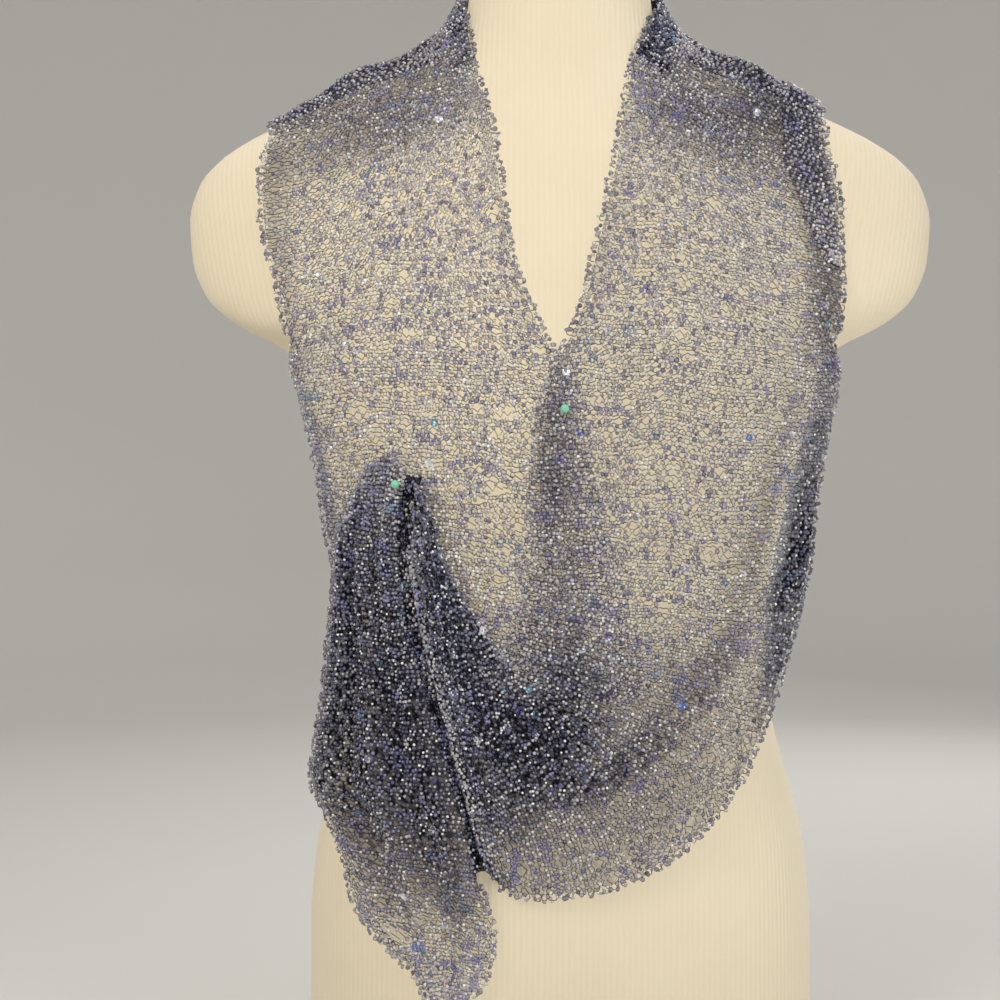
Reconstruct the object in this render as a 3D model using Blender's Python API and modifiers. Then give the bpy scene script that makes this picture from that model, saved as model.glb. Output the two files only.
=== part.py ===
"""Sequin scarf on a limbless dress form, at real size.

The scarf is one long open-knit band, 0.24 m wide before it is gathered. It runs from its left end on the
chest, over the left shoulder, round the back of the neck, over the right shoulder and down the front, then
swings across as a swag, is drawn up to a pin at the left and hangs from there as a tail. Left and right are
the viewer's. Every stretch is a thin wall lofted through sections on the form's own surface, moved out.

Frame: X to the viewer's right, the front faces -Y, +Z up, the base board stands on Z = 0.
Tables are in millimetres and degrees, and the model is built in metres.
"""

import math

import bmesh
import bpy
import numpy as np

MM = 0.001
COLLECTION = "sequin_scarf"

# The form: one row for each level section.
# height, half width with the arm stub, half width of the trunk, depth in front, depth behind, how softly
# the trunk runs out into the arms, and how far the cloth's own level stands off at the side and in front,
# where it hangs past the waist.
FORM_COLUMNS = ("height", "half", "trunk", "front", "back", "soften", "ease_side", "ease_front")
FORM_SECTIONS = (
    (0, 168, 168, 100, 112, 0, 6, 6),
    (50, 172, 172, 104, 118, 0, 8, 8),
    (100, 172, 172, 107, 121, 0, 10, 9),
    (155, 168, 168, 105, 118, 0, 14, 12),
    (200, 158, 158, 98, 106, 0, 24, 20),
    (250, 145, 145, 90, 90, 0, 36, 26),
    (290, 140, 140, 88, 82, 0, 42, 26),
    (340, 145, 145, 95, 80, 0.02, 38, 20),
    (400, 158, 158, 112, 84, 0.06, 30, 8),
    (450, 171, 171, 123, 89, 0.11, 22, 2),
    (480, 179, 178, 124, 93, 0.16, 15, 1),
    (495, 186, 181, 123, 95, 0.19, 9, 1),
    (504, 199, 184, 121, 97, 0.22, 5, 1),
    (512, 216, 187, 120, 98, 0.25, 3, 1),
    (522, 232, 190, 118, 99, 0.28, 1, 1),
    (536, 245, 192, 116, 100, 0.31, 1, 1),
    (560, 254, 192, 110, 102, 0.35, 1, 1),
    (588, 256, 189, 101, 104, 0.37, 1, 1),
    (613, 249, 182, 92, 103, 0.37, 1, 1),
    (630, 234, 172, 84, 99, 0.35, 1, 1),
    (642, 216, 160, 78, 96, 0.31, 1, 1),
    (652, 196, 150, 73, 91, 0.27, 1, 1),
    (660, 178, 141, 68, 88, 0.24, 1, 1),
    (668, 160, 131, 64, 84, 0.2, 1, 1),
    (680, 134, 112, 57, 79, 0.13, 1, 1),
    (691, 104, 92, 51, 74, 0.07, 1, 1),
    (702, 86, 80, 49, 70, 0.03, 1, 1),
    (713, 74, 72, 47, 68, 0, 1, 1),
    (725, 67, 66, 46, 66, 0, 1, 1),
    (740, 63, 63, 45, 64, 0, 1, 1),
    (776, 61, 61, 44, 61, 0, 1, 1),
)
NECK_AXIS_Y = 9.0
ARM_DEPTH = 50.0
ARM_REACH = 26.0
ARM_ROOT = (0.45, 0.9)
ARM_SQUARENESS = 2.4
TRUNK_SQUARENESS = 2.2
ARM_BLEND = 3.0
FORM_RING_POINTS = 40
BOARD_THICKNESS = 12.0
BOARD_INSET = 3.0
BOARD_EDGE = 2.0
SEAM_GAP = 0.3
# The neck cap: height above the neck's top and share of the neck's width, from its underside up.
CAP_COLUMNS = ("rise", "share")
CAP_SECTIONS = ((0, 1.03), (4, 1.04), (8, 1.0), (11, 0.88), (13, 0.6), (13.6, 0.2))

# The scarf's cloth, in order from its left end. Each front row gives the outer and the inner edge as
# seen from the front; lifts are how far the cloth's inner face stands off its own level.
CLOTH_WALL = 1.6
GATHERED_WALL = 2.0
FRONT_COLUMNS = ("outer_x", "outer_z", "inner_x", "inner_z", "outer_lift", "inner_lift") + (
    "gather", "fold_at", "fold_height"
)
LEFT_FRONT = (
    (-129, 266, 47, 269, 0.6, 0.6, 0, 0.3, 0),
    (-139, 304, 41, 307, 0.6, 0.6, 0, 0.3, 0),
    (-147, 346, 32, 345, 0.6, 0.6, 0, 0.3, 0),
    (-155, 382, 21, 382, 0.6, 0.6, 0, 0.3, 0),
    (-161, 421, 13, 417, 0.6, 0.6, 0, 0.3, 0),
    (-169, 461, 7, 459, 3, 0.9, 0, 0.3, 0),
    (-175, 494, -13, 495, 5.5, 1.7, 0, 0.3, 0),
    (-185, 533, -33, 543, 6.5, 2.5, 0, 0.3, 0),
    (-197, 570, -41, 595, 5, 2.6, 0, 0.3, 0),
    (-200, 604, -49, 648, 3.5, 2.2, 0, 0.3, 0),
    (-193, 640, -59, 686, 2.8, 2.8, 0, 0.3, 0),
)
NECK_COLUMNS = ("outer_turn", "outer_z", "inner_turn", "inner_z", "outer_lift", "inner_lift", "bridge")
ROUND_NECK = (
    (183, 655, 206, 725, 3.5, 5, 5),
    (168, 661, 184, 741, 3.5, 6, 8),
    (139, 627, 156, 750, 3.5, 6, 10),
    (114, 602, 122, 753, 3, 5, 11),
    (90, 594, 90, 754, 3, 5, 11),
    (66, 602, 58, 753, 3, 5, 11),
    (41, 627, 24, 750, 3.5, 6, 10),
    (10, 664, -4, 741, 3.5, 6, 8),
    (-11, 656, -26, 725, 3.5, 5, 5),
)
RIGHT_FRONT = (
    (177, 626, 48, 692, 3, 3, 0, 0.05, 0),
    (184, 596, 39, 644, 4, 3.3, 0, 0.05, 0),
    (184, 563, 30, 595, 5, 3.3, 0, 0.05, 0),
    (183, 529, 20, 552, 6.5, 3.3, 0, 0.05, 0),
    (179, 494, 9, 510, 5.5, 3.3, 0, 0.05, 0),
    (178, 465, -6, 479, 4.5, 3.3, 0, 0.05, 0),
    (170, 431, -16, 445, 3.3, 3.3, 0, 0.05, 0),
    (164, 395, -19, 401, 3.3, 3.3, 0, 0.05, 0),
    (159, 355, -21, 370, 3.3, 3.3, 0, 0.07, 2),
    (150, 320, -25, 338, 3.3, 3.3, 0, 0.14, 4),
)
SWAG = (
    (141, 291, -29, 319, 3.3, 3.3, 0, 0.24, 5),
    (125, 247, -34, 304, 3.3, 3.3, 0, 0.26, 5),
    (100, 202, -40, 297, 3.3, 3.3, 0.5, 0.32, 5),
    (60, 166, -48, 307, 3.3, 3.3, 1.0, 0.32, 5),
    (15, 149, -55, 319, 3.3, 3.3, 1.5, 0.34, 4),
    (-22, 146, -64, 332, 3.3, 3.3, 2.2, 0.34, 3),
    (-46, 157, -72, 347, 3.3, 3.3, 3.0, 0.34, 2),
    (-62, 205, -79, 366, 3.3, 3.3, 3.5, 0.34, 0),
    (-77, 259, -84, 385, 3.3, 3.3, 3.5, 0.34, 0),
    (-89, 306, -88, 400, 3.3, 3.3, 3.0, 0.34, 0),
    (-99, 362, -92, 412, 3.3, 3.3, 2.2, 0.34, 0),
)
TAIL = (
    (-127, 411, -99, 415, 3.4, 3.4, 1.2, 0.5, 0),
    (-137, 392, -104, 387, 3.4, 3.4, 2.0, 0.5, 0),
    (-146, 362, -104, 357, 3.4, 3.4, 3.3, 0.5, 0),
    (-148, 330, -101, 325, 3.4, 3.4, 3.4, 0.5, 0),
    (-152, 290, -91, 290, 3.4, 3.4, 3.6, 0.5, 0),
    (-157, 250, -81, 254, 3.4, 3.4, 3.8, 0.5, 0),
    (-163, 213, -69, 215, 3.4, 3.4, 3.8, 0.5, 0),
    (-153, 192, -60, 184, 3.4, 3.4, 3.6, 0.5, 0),
    (-141, 166, -54, 149, 3.4, 3.4, 3.2, 0.5, 0),
    (-132, 133, -46, 123, 3.4, 3.4, 2.6, 0.5, 0),
    (-113, 110, -48, 105, 3.4, 3.4, 1.8, 0.5, 0),
    (-92, 92, -54, 89, 3.4, 3.4, 1.0, 0.5, 0),
    (-86, 75, -65, 76, 3.4, 3.4, 0.4, 0.5, 0),
)
FOLD_WIDTH = 0.06
# The doubled band along the right shoulder: its rows of the route, its share of the width, its lift.
SHOULDER_FOLD_ROWS = (18.2, 22.4)
SHOULDER_FOLD_ACROSS = (0.015, 0.17)
SHOULDER_FOLD_LIFT = 3.3
# The stretches: steps along and across, wall, gathers across, height of the arch in a gathered top, and
# how far the whole stretch lies out from its own rows. Two stretches part over this share of a row.
STRETCH_COLUMNS = ("along", "across", "wall", "gathers", "arch", "extra")
STRETCHES = {
    "scarf_left_front": (20, 14, CLOTH_WALL, 0, 0.0, 0.0),
    "scarf_neck_back": (40, 14, CLOTH_WALL, 0, 0.0, 0.0),
    "scarf_right_front": (18, 14, CLOTH_WALL, 0, 0.0, 0.0),
    "scarf_swag": (24, 24, GATHERED_WALL, 4, 0.0, 0.0),
    "scarf_tail": (24, 18, GATHERED_WALL, 3, 9.0, 0.0),
    "scarf_shoulder_fold": (22, 4, CLOTH_WALL, 0, 0.0, SHOULDER_FOLD_LIFT),
}
ROW_SEAM = 0.012
WHOLE_WIDTH = (0.0, 1.0)
# A point of the cloth's level is found by halving this reach so many times, and the level's slope is
# measured over a nudge each way, in millimetres and degrees.
FARTHEST_REACH = 330.0
HALVINGS = 34
NUDGE = 0.5

# Ball-headed pins, pushed straight back through the cloth into the form: name, x, z, cloth they sit on.
PINS = (("pin_neckline", -1, 452, "scarf_right_front"), ("pin_gather", -108, 405, "scarf_tail"))
PIN_HEAD_RADIUS = 2.75
PIN_SHAFT_RADIUS = 0.35
PIN_LENGTH = 30.0
PIN_POINT = 2.0
PIN_HOLE_RADIUS = 0.8
PIN_HEAD_STEPS = 10
PIN_TURN_STEPS = 16
CUTTER_SIDES = 10

CREAM = (0.78, 0.70, 0.55, 1)
BOARD_BROWN = (0.30, 0.20, 0.12, 1)
SLATE_LILAC = (0.20, 0.19, 0.30, 1)
MINT = (0.35, 0.78, 0.58, 1)


def column(rows, columns, name):
    """One named column of a table."""
    return np.array([row[columns.index(name)] for row in rows], float)


def slopes(at, values):
    """Slopes for a smooth curve through the points that never swings past them."""
    rise = np.diff(values) / np.diff(at)
    found = np.zeros(len(at))
    same_way = rise[:-1] * rise[1:] > 0
    both = np.where(same_way, rise[:-1] + rise[1:], 1.0)
    found[1:-1] = np.where(same_way, 2 * rise[:-1] * rise[1:] / both, 0.0)
    found[0] = rise[0]
    found[-1] = rise[-1]
    return found


def smooth(at, values, where):
    """The smooth curve's value at each of the places asked for."""
    where = np.clip(where, at[0], at[-1])
    first = np.clip(np.searchsorted(at, where, side="right") - 1, 0, len(at) - 2)
    step = at[first + 1] - at[first]
    t = (where - at[first]) / step
    slope = slopes(at, values)
    return (
        values[first] * (1 + 2 * t) * (1 - t) ** 2
        + slope[first] * step * t * (1 - t) ** 2
        + values[first + 1] * t**2 * (3 - 2 * t)
        + slope[first + 1] * step * t**2 * (t - 1)
    )


def form_size(name, height):
    heights = column(FORM_SECTIONS, FORM_COLUMNS, "height")
    return smooth(heights, column(FORM_SECTIONS, FORM_COLUMNS, name), height)


def section_depth(x, height, behind, cloth):
    """How far the surface stands in front of or behind the widest line, at x of one level section."""
    side = form_size("ease_side", height) if cloth else 0.0
    half = form_size("half", height) + side
    trunk = form_size("trunk", height) + side
    ease = form_size("ease_front", height) if cloth else 0.0
    deep = np.where(behind, form_size("back", height), form_size("front", height)) + ease
    arm_share = np.clip((half - trunk) / ARM_REACH, 0, 1)
    flat = np.clip(1 - np.abs(x / trunk) ** TRUNK_SQUARENESS, 0, 1)
    trunk_depth = deep * flat ** (1 / TRUNK_SQUARENESS + form_size("soften", height))
    round_end = np.clip(1 - np.abs(x / half) ** ARM_SQUARENESS, 0, 1)
    root = np.clip((np.abs(x / trunk) - ARM_ROOT[0]) / (ARM_ROOT[1] - ARM_ROOT[0]), 0, 1)
    arm_depth = ARM_DEPTH * arm_share * root**2 * (3 - 2 * root) * round_end ** (1 / ARM_SQUARENESS)
    return (trunk_depth**ARM_BLEND + arm_depth**ARM_BLEND) ** (1 / ARM_BLEND)


def on_cloth_level(turn, height):
    """The point of the cloth's level at an angle round the neck's axis, seen from above, and a height."""
    turn = np.radians(turn)
    near = np.zeros_like(height)
    far = np.full_like(height, FARTHEST_REACH)
    for _ in range(HALVINGS):
        reach = (near + far) / 2
        x = reach * np.cos(turn)
        y = NECK_AXIS_Y + reach * np.sin(turn)
        inside = np.abs(y) < section_depth(x, height, y > 0, True)
        near = np.where(inside, reach, near)
        far = np.where(inside, far, reach)
    return np.stack([near * np.cos(turn), NECK_AXIS_Y + near * np.sin(turn), height], axis=-1)


def lifted(turn, height, lift):
    """That point moved out along the level's normal."""
    across = on_cloth_level(turn + NUDGE, height) - on_cloth_level(turn - NUDGE, height)
    up = on_cloth_level(turn, height + NUDGE) - on_cloth_level(turn, height - NUDGE)
    normal = np.cross(across, up)
    normal /= np.linalg.norm(normal, axis=-1, keepdims=True)
    return on_cloth_level(turn, height) + normal * lift[..., None]


def turn_at(x, height, left):
    """The angle round the neck's axis of a front point; the left side counts on past 180 degrees."""
    y = -section_depth(x, height, np.zeros(len(x), bool), True)
    turn = np.degrees(np.arctan2(y - NECK_AXIS_Y, x))
    return turn % 360 if left else turn


def front_rows(rows, left):
    """A front table as the numbers that every row of the scarf has."""
    heights = {edge: column(rows, FRONT_COLUMNS, edge + "_z") for edge in ("outer", "inner")}
    return {
        "outer_turn": turn_at(column(rows, FRONT_COLUMNS, "outer_x"), heights["outer"], left),
        "inner_turn": turn_at(column(rows, FRONT_COLUMNS, "inner_x"), heights["inner"], left),
        "outer_z": heights["outer"],
        "inner_z": heights["inner"],
        "outer_lift": column(rows, FRONT_COLUMNS, "outer_lift"),
        "inner_lift": column(rows, FRONT_COLUMNS, "inner_lift"),
        "bridge": np.zeros(len(rows)),
        "gather": column(rows, FRONT_COLUMNS, "gather"),
        "fold_at": column(rows, FRONT_COLUMNS, "fold_at"),
        "fold_height": column(rows, FRONT_COLUMNS, "fold_height"),
    }


def neck_rows():
    found = {name: column(ROUND_NECK, NECK_COLUMNS, name) for name in NECK_COLUMNS}
    found["gather"] = np.zeros(len(ROUND_NECK))
    found["fold_at"] = np.full(len(ROUND_NECK), 0.3)
    found["fold_height"] = np.full(len(ROUND_NECK), 2.0)
    return found


def joined(*tables):
    return {name: np.concatenate([table[name] for table in tables]) for name in tables[0]}


def cloth_points(rows, along, across, gathers, arch, extra):
    """Points of a stretch at places along its rows and across its width, 0 at the outer edge."""
    number = np.arange(len(rows["outer_z"]), dtype=float)
    row = {name: smooth(number, values, along) for name, values in rows.items()}
    turn = row["outer_turn"] + (row["inner_turn"] - row["outer_turn"]) * across
    height = row["outer_z"] + (row["inner_z"] - row["outer_z"]) * across
    height = height + arch * np.clip(1 - along, 0, 1) ** 2 * 4 * across * (1 - across)
    lift = row["outer_lift"] + (row["inner_lift"] - row["outer_lift"]) * across
    lift = lift + row["bridge"] * 4 * across * (1 - across)
    lift = lift + row["gather"] * (1 - np.cos(2 * math.pi * gathers * across))
    lift = lift + row["fold_height"] * np.exp(-(((across - row["fold_at"]) / FOLD_WIDTH) ** 2))
    return lifted(turn, height, lift + extra)


def material(name, color, roughness, metallic=0.0):
    made = bpy.data.materials.new(name)
    made.use_nodes = True
    shader = made.node_tree.nodes["Principled BSDF"]
    shader.inputs["Base Color"].default_value = color
    shader.inputs["Roughness"].default_value = roughness
    shader.inputs["Metallic"].default_value = metallic
    return made


def add_object(name, mesh, collection, finish):
    mesh.shade_smooth()
    mesh.materials.append(finish)
    made = bpy.data.objects.new(name, mesh)
    collection.objects.link(made)
    return made


def lofted(name, rings, end_strips):
    """A closed mesh through rings of equally many points: ends are one face, or strips across a wall."""
    mesh = bpy.data.meshes.new(name)
    shape = bmesh.new()
    corners = [[shape.verts.new(point * MM) for point in ring] for ring in rings]
    count = len(rings[0])
    for lower, upper in zip(corners, corners[1:]):
        for i in range(count):
            k = (i + 1) % count
            shape.faces.new((lower[i], lower[k], upper[k], upper[i]))
    for ring in (corners[0], corners[-1]):
        if end_strips:
            for i in range(count // 2 - 1):
                shape.faces.new((ring[i], ring[i + 1], ring[count - 2 - i], ring[count - 1 - i]))
        else:
            shape.faces.new(ring)
    bmesh.ops.recalc_face_normals(shape, faces=shape.faces)
    shape.to_mesh(mesh)
    shape.free()
    return mesh


def cloth_wall(name, rows, span, across_span):
    """A stretch of cloth: each section is a thin ring, its outer face and its inner face."""
    size = dict(zip(STRETCH_COLUMNS, STRETCHES[name]))
    gathers, arch, extra = size["gathers"], size["arch"], size["extra"]
    across = np.linspace(*across_span, size["across"] + 1)
    rings = []
    for place in np.linspace(*span, size["along"] + 1):
        along = np.full(len(across), place)
        inner = cloth_points(rows, along, across, gathers, arch, extra)
        outer = cloth_points(rows, along, across, gathers, arch, extra + size["wall"])
        rings.append(np.concatenate([outer, inner[::-1]]))
    return lofted(name, rings, True)


def form_ring(height, inset=0.0, share=1.0, shown_height=None):
    """One level section of the form, from its right side round by the back."""
    angle = np.linspace(0, 2 * math.pi, FORM_RING_POINTS, endpoint=False)
    level = np.full(len(angle), float(height))
    x = form_size("half", level) * np.cos(angle)
    behind = np.sin(angle) > 0
    y = section_depth(x, level, behind, False) * np.where(behind, 1, -1)
    y = np.where(np.isclose(np.sin(angle), 0), 0.0, y)
    narrow = 1 - inset / form_size("half", level)
    z = level if shown_height is None else np.full(len(angle), float(shown_height))
    return np.stack([x * narrow * share, y * narrow * share, z], axis=-1)


def build_form(collection):
    """The covered form, with a plain cap on its neck and a flat board under it."""
    cover = material("cream_jersey", CREAM, 0.9)
    board_finish = material("board_wood", BOARD_BROWN, 0.6)
    heights = column(FORM_SECTIONS, FORM_COLUMNS, "height")
    heights[0] = BOARD_THICKNESS + SEAM_GAP
    levels = np.sort(np.concatenate([heights, (heights[1:] + heights[:-1]) / 2]))
    form = add_object(
        "dress_form", lofted("dress_form", [form_ring(z) for z in levels], False), collection, cover
    )
    top = heights[-1]
    rises = column(CAP_SECTIONS, CAP_COLUMNS, "rise")
    shares = column(CAP_SECTIONS, CAP_COLUMNS, "share")
    cap_rings = [
        form_ring(top, share=share, shown_height=top + SEAM_GAP + rise) for rise, share in zip(rises, shares)
    ]
    add_object("form_neck_cap", lofted("form_neck_cap", cap_rings, False), collection, board_finish)
    board_levels = (
        (0.0, BOARD_INSET + BOARD_EDGE),
        (BOARD_EDGE, BOARD_INSET),
        (BOARD_THICKNESS - BOARD_EDGE, BOARD_INSET),
        (BOARD_THICKNESS, BOARD_INSET + BOARD_EDGE),
    )
    board_rings = [form_ring(0, inset=inset, shown_height=z) for z, inset in board_levels]
    add_object("form_base_board", lofted("form_base_board", board_rings, False), collection, board_finish)
    return form


def build_scarf(collection):
    """The stretches of the scarf that show, all from one route, and its tail."""
    knit = material("beaded_knit", SLATE_LILAC, 0.45)
    route = joined(
        front_rows(LEFT_FRONT, True), neck_rows(), front_rows(RIGHT_FRONT, False), front_rows(SWAG, False)
    )
    tail = front_rows(TAIL, True)
    left_end = len(LEFT_FRONT) - 1
    right_start = len(LEFT_FRONT) + len(ROUND_NECK)
    swag_start = right_start + len(RIGHT_FRONT) - 1
    swag_end = swag_start + len(SWAG)
    stretches = (
        ("scarf_left_front", route, (0, left_end - ROW_SEAM), WHOLE_WIDTH),
        ("scarf_neck_back", route, (left_end + ROW_SEAM, right_start - ROW_SEAM), WHOLE_WIDTH),
        ("scarf_right_front", route, (right_start + ROW_SEAM, swag_start - ROW_SEAM), WHOLE_WIDTH),
        ("scarf_swag", route, (swag_start + ROW_SEAM, swag_end), WHOLE_WIDTH),
        ("scarf_tail", tail, (0, len(TAIL) - 1), WHOLE_WIDTH),
        ("scarf_shoulder_fold", route, SHOULDER_FOLD_ROWS, SHOULDER_FOLD_ACROSS),
    )
    made = {}
    for name, rows, span, across_span in stretches:
        mesh = cloth_wall(name, rows, span, across_span)
        made[name] = add_object(name, mesh, collection, knit)
    return made


def front_face_y(cloth, x, z):
    """Where a straight line from the front first meets a piece of cloth."""
    hit, place, _, _ = cloth.ray_cast((x * MM, -1.0, z * MM), (0, 1, 0))
    if not hit:
        raise ValueError(f"no cloth of {cloth.name} behind the pin at {x}, {z}")
    return place.y / MM


def pin_mesh(name):
    """A turned pin: ball head at the top, shaft running down, as a profile round Z."""
    shaft_angle = math.asin(PIN_SHAFT_RADIUS / PIN_HEAD_RADIUS)
    angles = np.linspace(0, math.pi - shaft_angle, PIN_HEAD_STEPS + 1)
    profile = [(PIN_HEAD_RADIUS * math.sin(a), PIN_HEAD_RADIUS * math.cos(a)) for a in angles]
    profile[0] = (0.0, PIN_HEAD_RADIUS)
    profile.append((PIN_SHAFT_RADIUS, -PIN_LENGTH + PIN_POINT))
    profile.append((0.0, -PIN_LENGTH))
    mesh = bpy.data.meshes.new(name)
    points = [(radius * MM, 0.0, z * MM) for radius, z in profile]
    mesh.from_pydata(points, [(i, i + 1) for i in range(len(points) - 1)], [])
    return mesh


def build_pins(collection, cutters, cloth, form):
    """Two pins, each in its own hole through the cloth under it and into the form."""
    mint = material("mint_pin_head", MINT, 0.2)
    for name, x, z, seat in PINS:
        head_y = front_face_y(cloth[seat], x, z) - SEAM_GAP - PIN_HEAD_RADIUS
        pin = add_object(name, pin_mesh(name), collection, mint)
        pin.location = (x * MM, head_y * MM, z * MM)
        pin.rotation_euler = (math.pi / 2, 0, 0)
        turned = pin.modifiers.new("turned", "SCREW")
        turned.steps = PIN_TURN_STEPS
        turned.render_steps = PIN_TURN_STEPS
        turned.use_merge_vertices = True
        turned.merge_threshold = 0.00001
        bpy.ops.mesh.primitive_cylinder_add(
            vertices=CUTTER_SIDES,
            radius=PIN_HOLE_RADIUS * MM,
            depth=2 * PIN_LENGTH * MM,
            location=(x * MM, (head_y + SEAM_GAP) * MM, z * MM),
            rotation=(math.pi / 2, 0, 0),
        )
        hole = bpy.context.object
        hole.name = name + "_hole"
        hole.hide_render = True
        hole.display_type = "WIRE"
        for owner in list(hole.users_collection):
            owner.objects.unlink(hole)
        cutters.objects.link(hole)
        for piece in (cloth[seat], cloth["scarf_left_front"], form):
            cut = piece.modifiers.new(hole.name, "BOOLEAN")
            cut.operation = "DIFFERENCE"
            cut.object = hole


def centre_on_origin(collection, cutters):
    """Moves everything so that the middle of the whole model's box is over the origin."""
    bpy.context.view_layer.update()
    corners = [
        made.matrix_world @ vertex.co
        for made in collection.objects
        if not made.name.startswith("pin")
        for vertex in made.data.vertices
    ]
    pins = [made for made in collection.objects if made.name.startswith("pin")]
    heads = [pin.location.y - PIN_HEAD_RADIUS * MM for pin in pins]
    front = min(min(corner.y for corner in corners), min(heads))
    back = max(corner.y for corner in corners)
    for made in list(collection.objects) + list(cutters.objects):
        made.location.y -= (front + back) / 2


for old in list(bpy.data.objects):
    bpy.data.objects.remove(old, do_unlink=True)
scarf_collection = bpy.data.collections.new(COLLECTION)
cutter_collection = bpy.data.collections.new(COLLECTION + "_cutters")
bpy.context.scene.collection.children.link(scarf_collection)
bpy.context.scene.collection.children.link(cutter_collection)
dress_form = build_form(scarf_collection)
scarf = build_scarf(scarf_collection)
build_pins(scarf_collection, cutter_collection, scarf, dress_form)
centre_on_origin(scarf_collection, cutter_collection)
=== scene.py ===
import math

import bmesh
import bpy
import numpy as np
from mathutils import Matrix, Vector


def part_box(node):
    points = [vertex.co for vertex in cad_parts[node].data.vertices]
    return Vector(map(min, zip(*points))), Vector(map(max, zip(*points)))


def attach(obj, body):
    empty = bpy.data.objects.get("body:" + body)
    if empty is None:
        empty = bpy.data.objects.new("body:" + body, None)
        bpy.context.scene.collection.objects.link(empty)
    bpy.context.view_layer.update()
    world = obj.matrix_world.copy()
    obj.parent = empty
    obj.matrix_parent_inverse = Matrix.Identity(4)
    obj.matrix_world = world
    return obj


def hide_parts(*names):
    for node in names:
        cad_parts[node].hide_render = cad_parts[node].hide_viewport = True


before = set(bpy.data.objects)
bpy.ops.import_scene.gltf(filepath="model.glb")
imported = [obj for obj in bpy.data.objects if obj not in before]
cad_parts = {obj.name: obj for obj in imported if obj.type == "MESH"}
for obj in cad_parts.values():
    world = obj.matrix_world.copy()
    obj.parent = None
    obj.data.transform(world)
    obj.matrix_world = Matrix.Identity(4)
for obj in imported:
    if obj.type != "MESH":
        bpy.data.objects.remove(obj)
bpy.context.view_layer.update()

# Dress form: a limbless countertop torso with short rounded arm stubs. Its hollow core is covered in one
# ribbed cream jersey, cut as a front and a back, seamed down the sides and pulled tight over the board's rim.
MM = 0.001
BODY = "root"
FORM_COLUMNS = ("height", "half", "trunk", "front", "back", "soften", "ease_side", "ease_front")
FORM_SECTIONS = (
    (0, 168, 168, 100, 112, 0, 6, 6),
    (50, 172, 172, 104, 118, 0, 8, 8),
    (100, 172, 172, 107, 121, 0, 10, 9),
    (155, 168, 168, 105, 118, 0, 14, 12),
    (200, 158, 158, 98, 106, 0, 24, 20),
    (250, 145, 145, 90, 90, 0, 36, 26),
    (290, 140, 140, 88, 82, 0, 42, 26),
    (340, 145, 145, 95, 80, 0.02, 38, 20),
    (400, 158, 158, 112, 84, 0.06, 30, 8),
    (450, 171, 171, 123, 89, 0.11, 22, 2),
    (480, 179, 178, 124, 93, 0.16, 15, 1),
    (495, 186, 181, 123, 95, 0.19, 9, 1),
    (504, 199, 184, 121, 97, 0.22, 5, 1),
    (512, 216, 187, 120, 98, 0.25, 3, 1),
    (522, 232, 190, 118, 99, 0.28, 1, 1),
    (536, 245, 192, 116, 100, 0.31, 1, 1),
    (560, 254, 192, 110, 102, 0.35, 1, 1),
    (588, 256, 189, 101, 104, 0.37, 1, 1),
    (613, 249, 182, 92, 103, 0.37, 1, 1),
    (630, 234, 172, 84, 99, 0.35, 1, 1),
    (642, 216, 160, 78, 96, 0.31, 1, 1),
    (652, 196, 150, 73, 91, 0.27, 1, 1),
    (660, 178, 141, 68, 88, 0.24, 1, 1),
    (668, 160, 131, 64, 84, 0.2, 1, 1),
    (680, 134, 112, 57, 79, 0.13, 1, 1),
    (691, 104, 92, 51, 74, 0.07, 1, 1),
    (702, 86, 80, 49, 70, 0.03, 1, 1),
    (713, 74, 72, 47, 68, 0, 1, 1),
    (725, 67, 66, 46, 66, 0, 1, 1),
    (740, 63, 63, 45, 64, 0, 1, 1),
    (776, 61, 61, 44, 61, 0, 1, 1),
)
ARM_DEPTH = 50.0
ARM_REACH = 26.0
ARM_ROOT = (0.45, 0.9)
ARM_SQUARENESS = 2.4
TRUNK_SQUARENESS = 2.2
ARM_BLEND = 3.0
FORM_BOTTOM = 12.3
FORM_TOP = 776.0
FORM_LEVEL_GAP = 6.0
FORM_ROUND_POINTS = 112
RIB_PITCH = 0.0039
RIB_DRIFT = 0.0016
KNIT_RELIEF = 1.2
RELIEF_HEIGHT = 0.00035
JERSEY_LIGHT = (246, 232, 202)
JERSEY_SHADE = (232, 215, 182)


def column(rows, columns, name):
    """One named column of a table."""
    return np.array([row[columns.index(name)] for row in rows], float)


def slopes(at, values):
    """Slopes for a smooth curve through the points that never swings past them."""
    rise = np.diff(values) / np.diff(at)
    found = np.zeros(len(at))
    same_way = rise[:-1] * rise[1:] > 0
    both = np.where(same_way, rise[:-1] + rise[1:], 1.0)
    found[1:-1] = np.where(same_way, 2 * rise[:-1] * rise[1:] / both, 0.0)
    found[0] = rise[0]
    found[-1] = rise[-1]
    return found


def smooth(at, values, where):
    """The smooth curve's value at each of the places asked for."""
    where = np.clip(where, at[0], at[-1])
    first = np.clip(np.searchsorted(at, where, side="right") - 1, 0, len(at) - 2)
    step = at[first + 1] - at[first]
    t = (where - at[first]) / step
    slope = slopes(at, values)
    return (
        values[first] * (1 + 2 * t) * (1 - t) ** 2
        + slope[first] * step * t * (1 - t) ** 2
        + values[first + 1] * t**2 * (3 - 2 * t)
        + slope[first + 1] * step * t**2 * (t - 1)
    )


def form_size(name, height):
    heights = column(FORM_SECTIONS, FORM_COLUMNS, "height")
    return smooth(heights, column(FORM_SECTIONS, FORM_COLUMNS, name), height)


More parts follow.
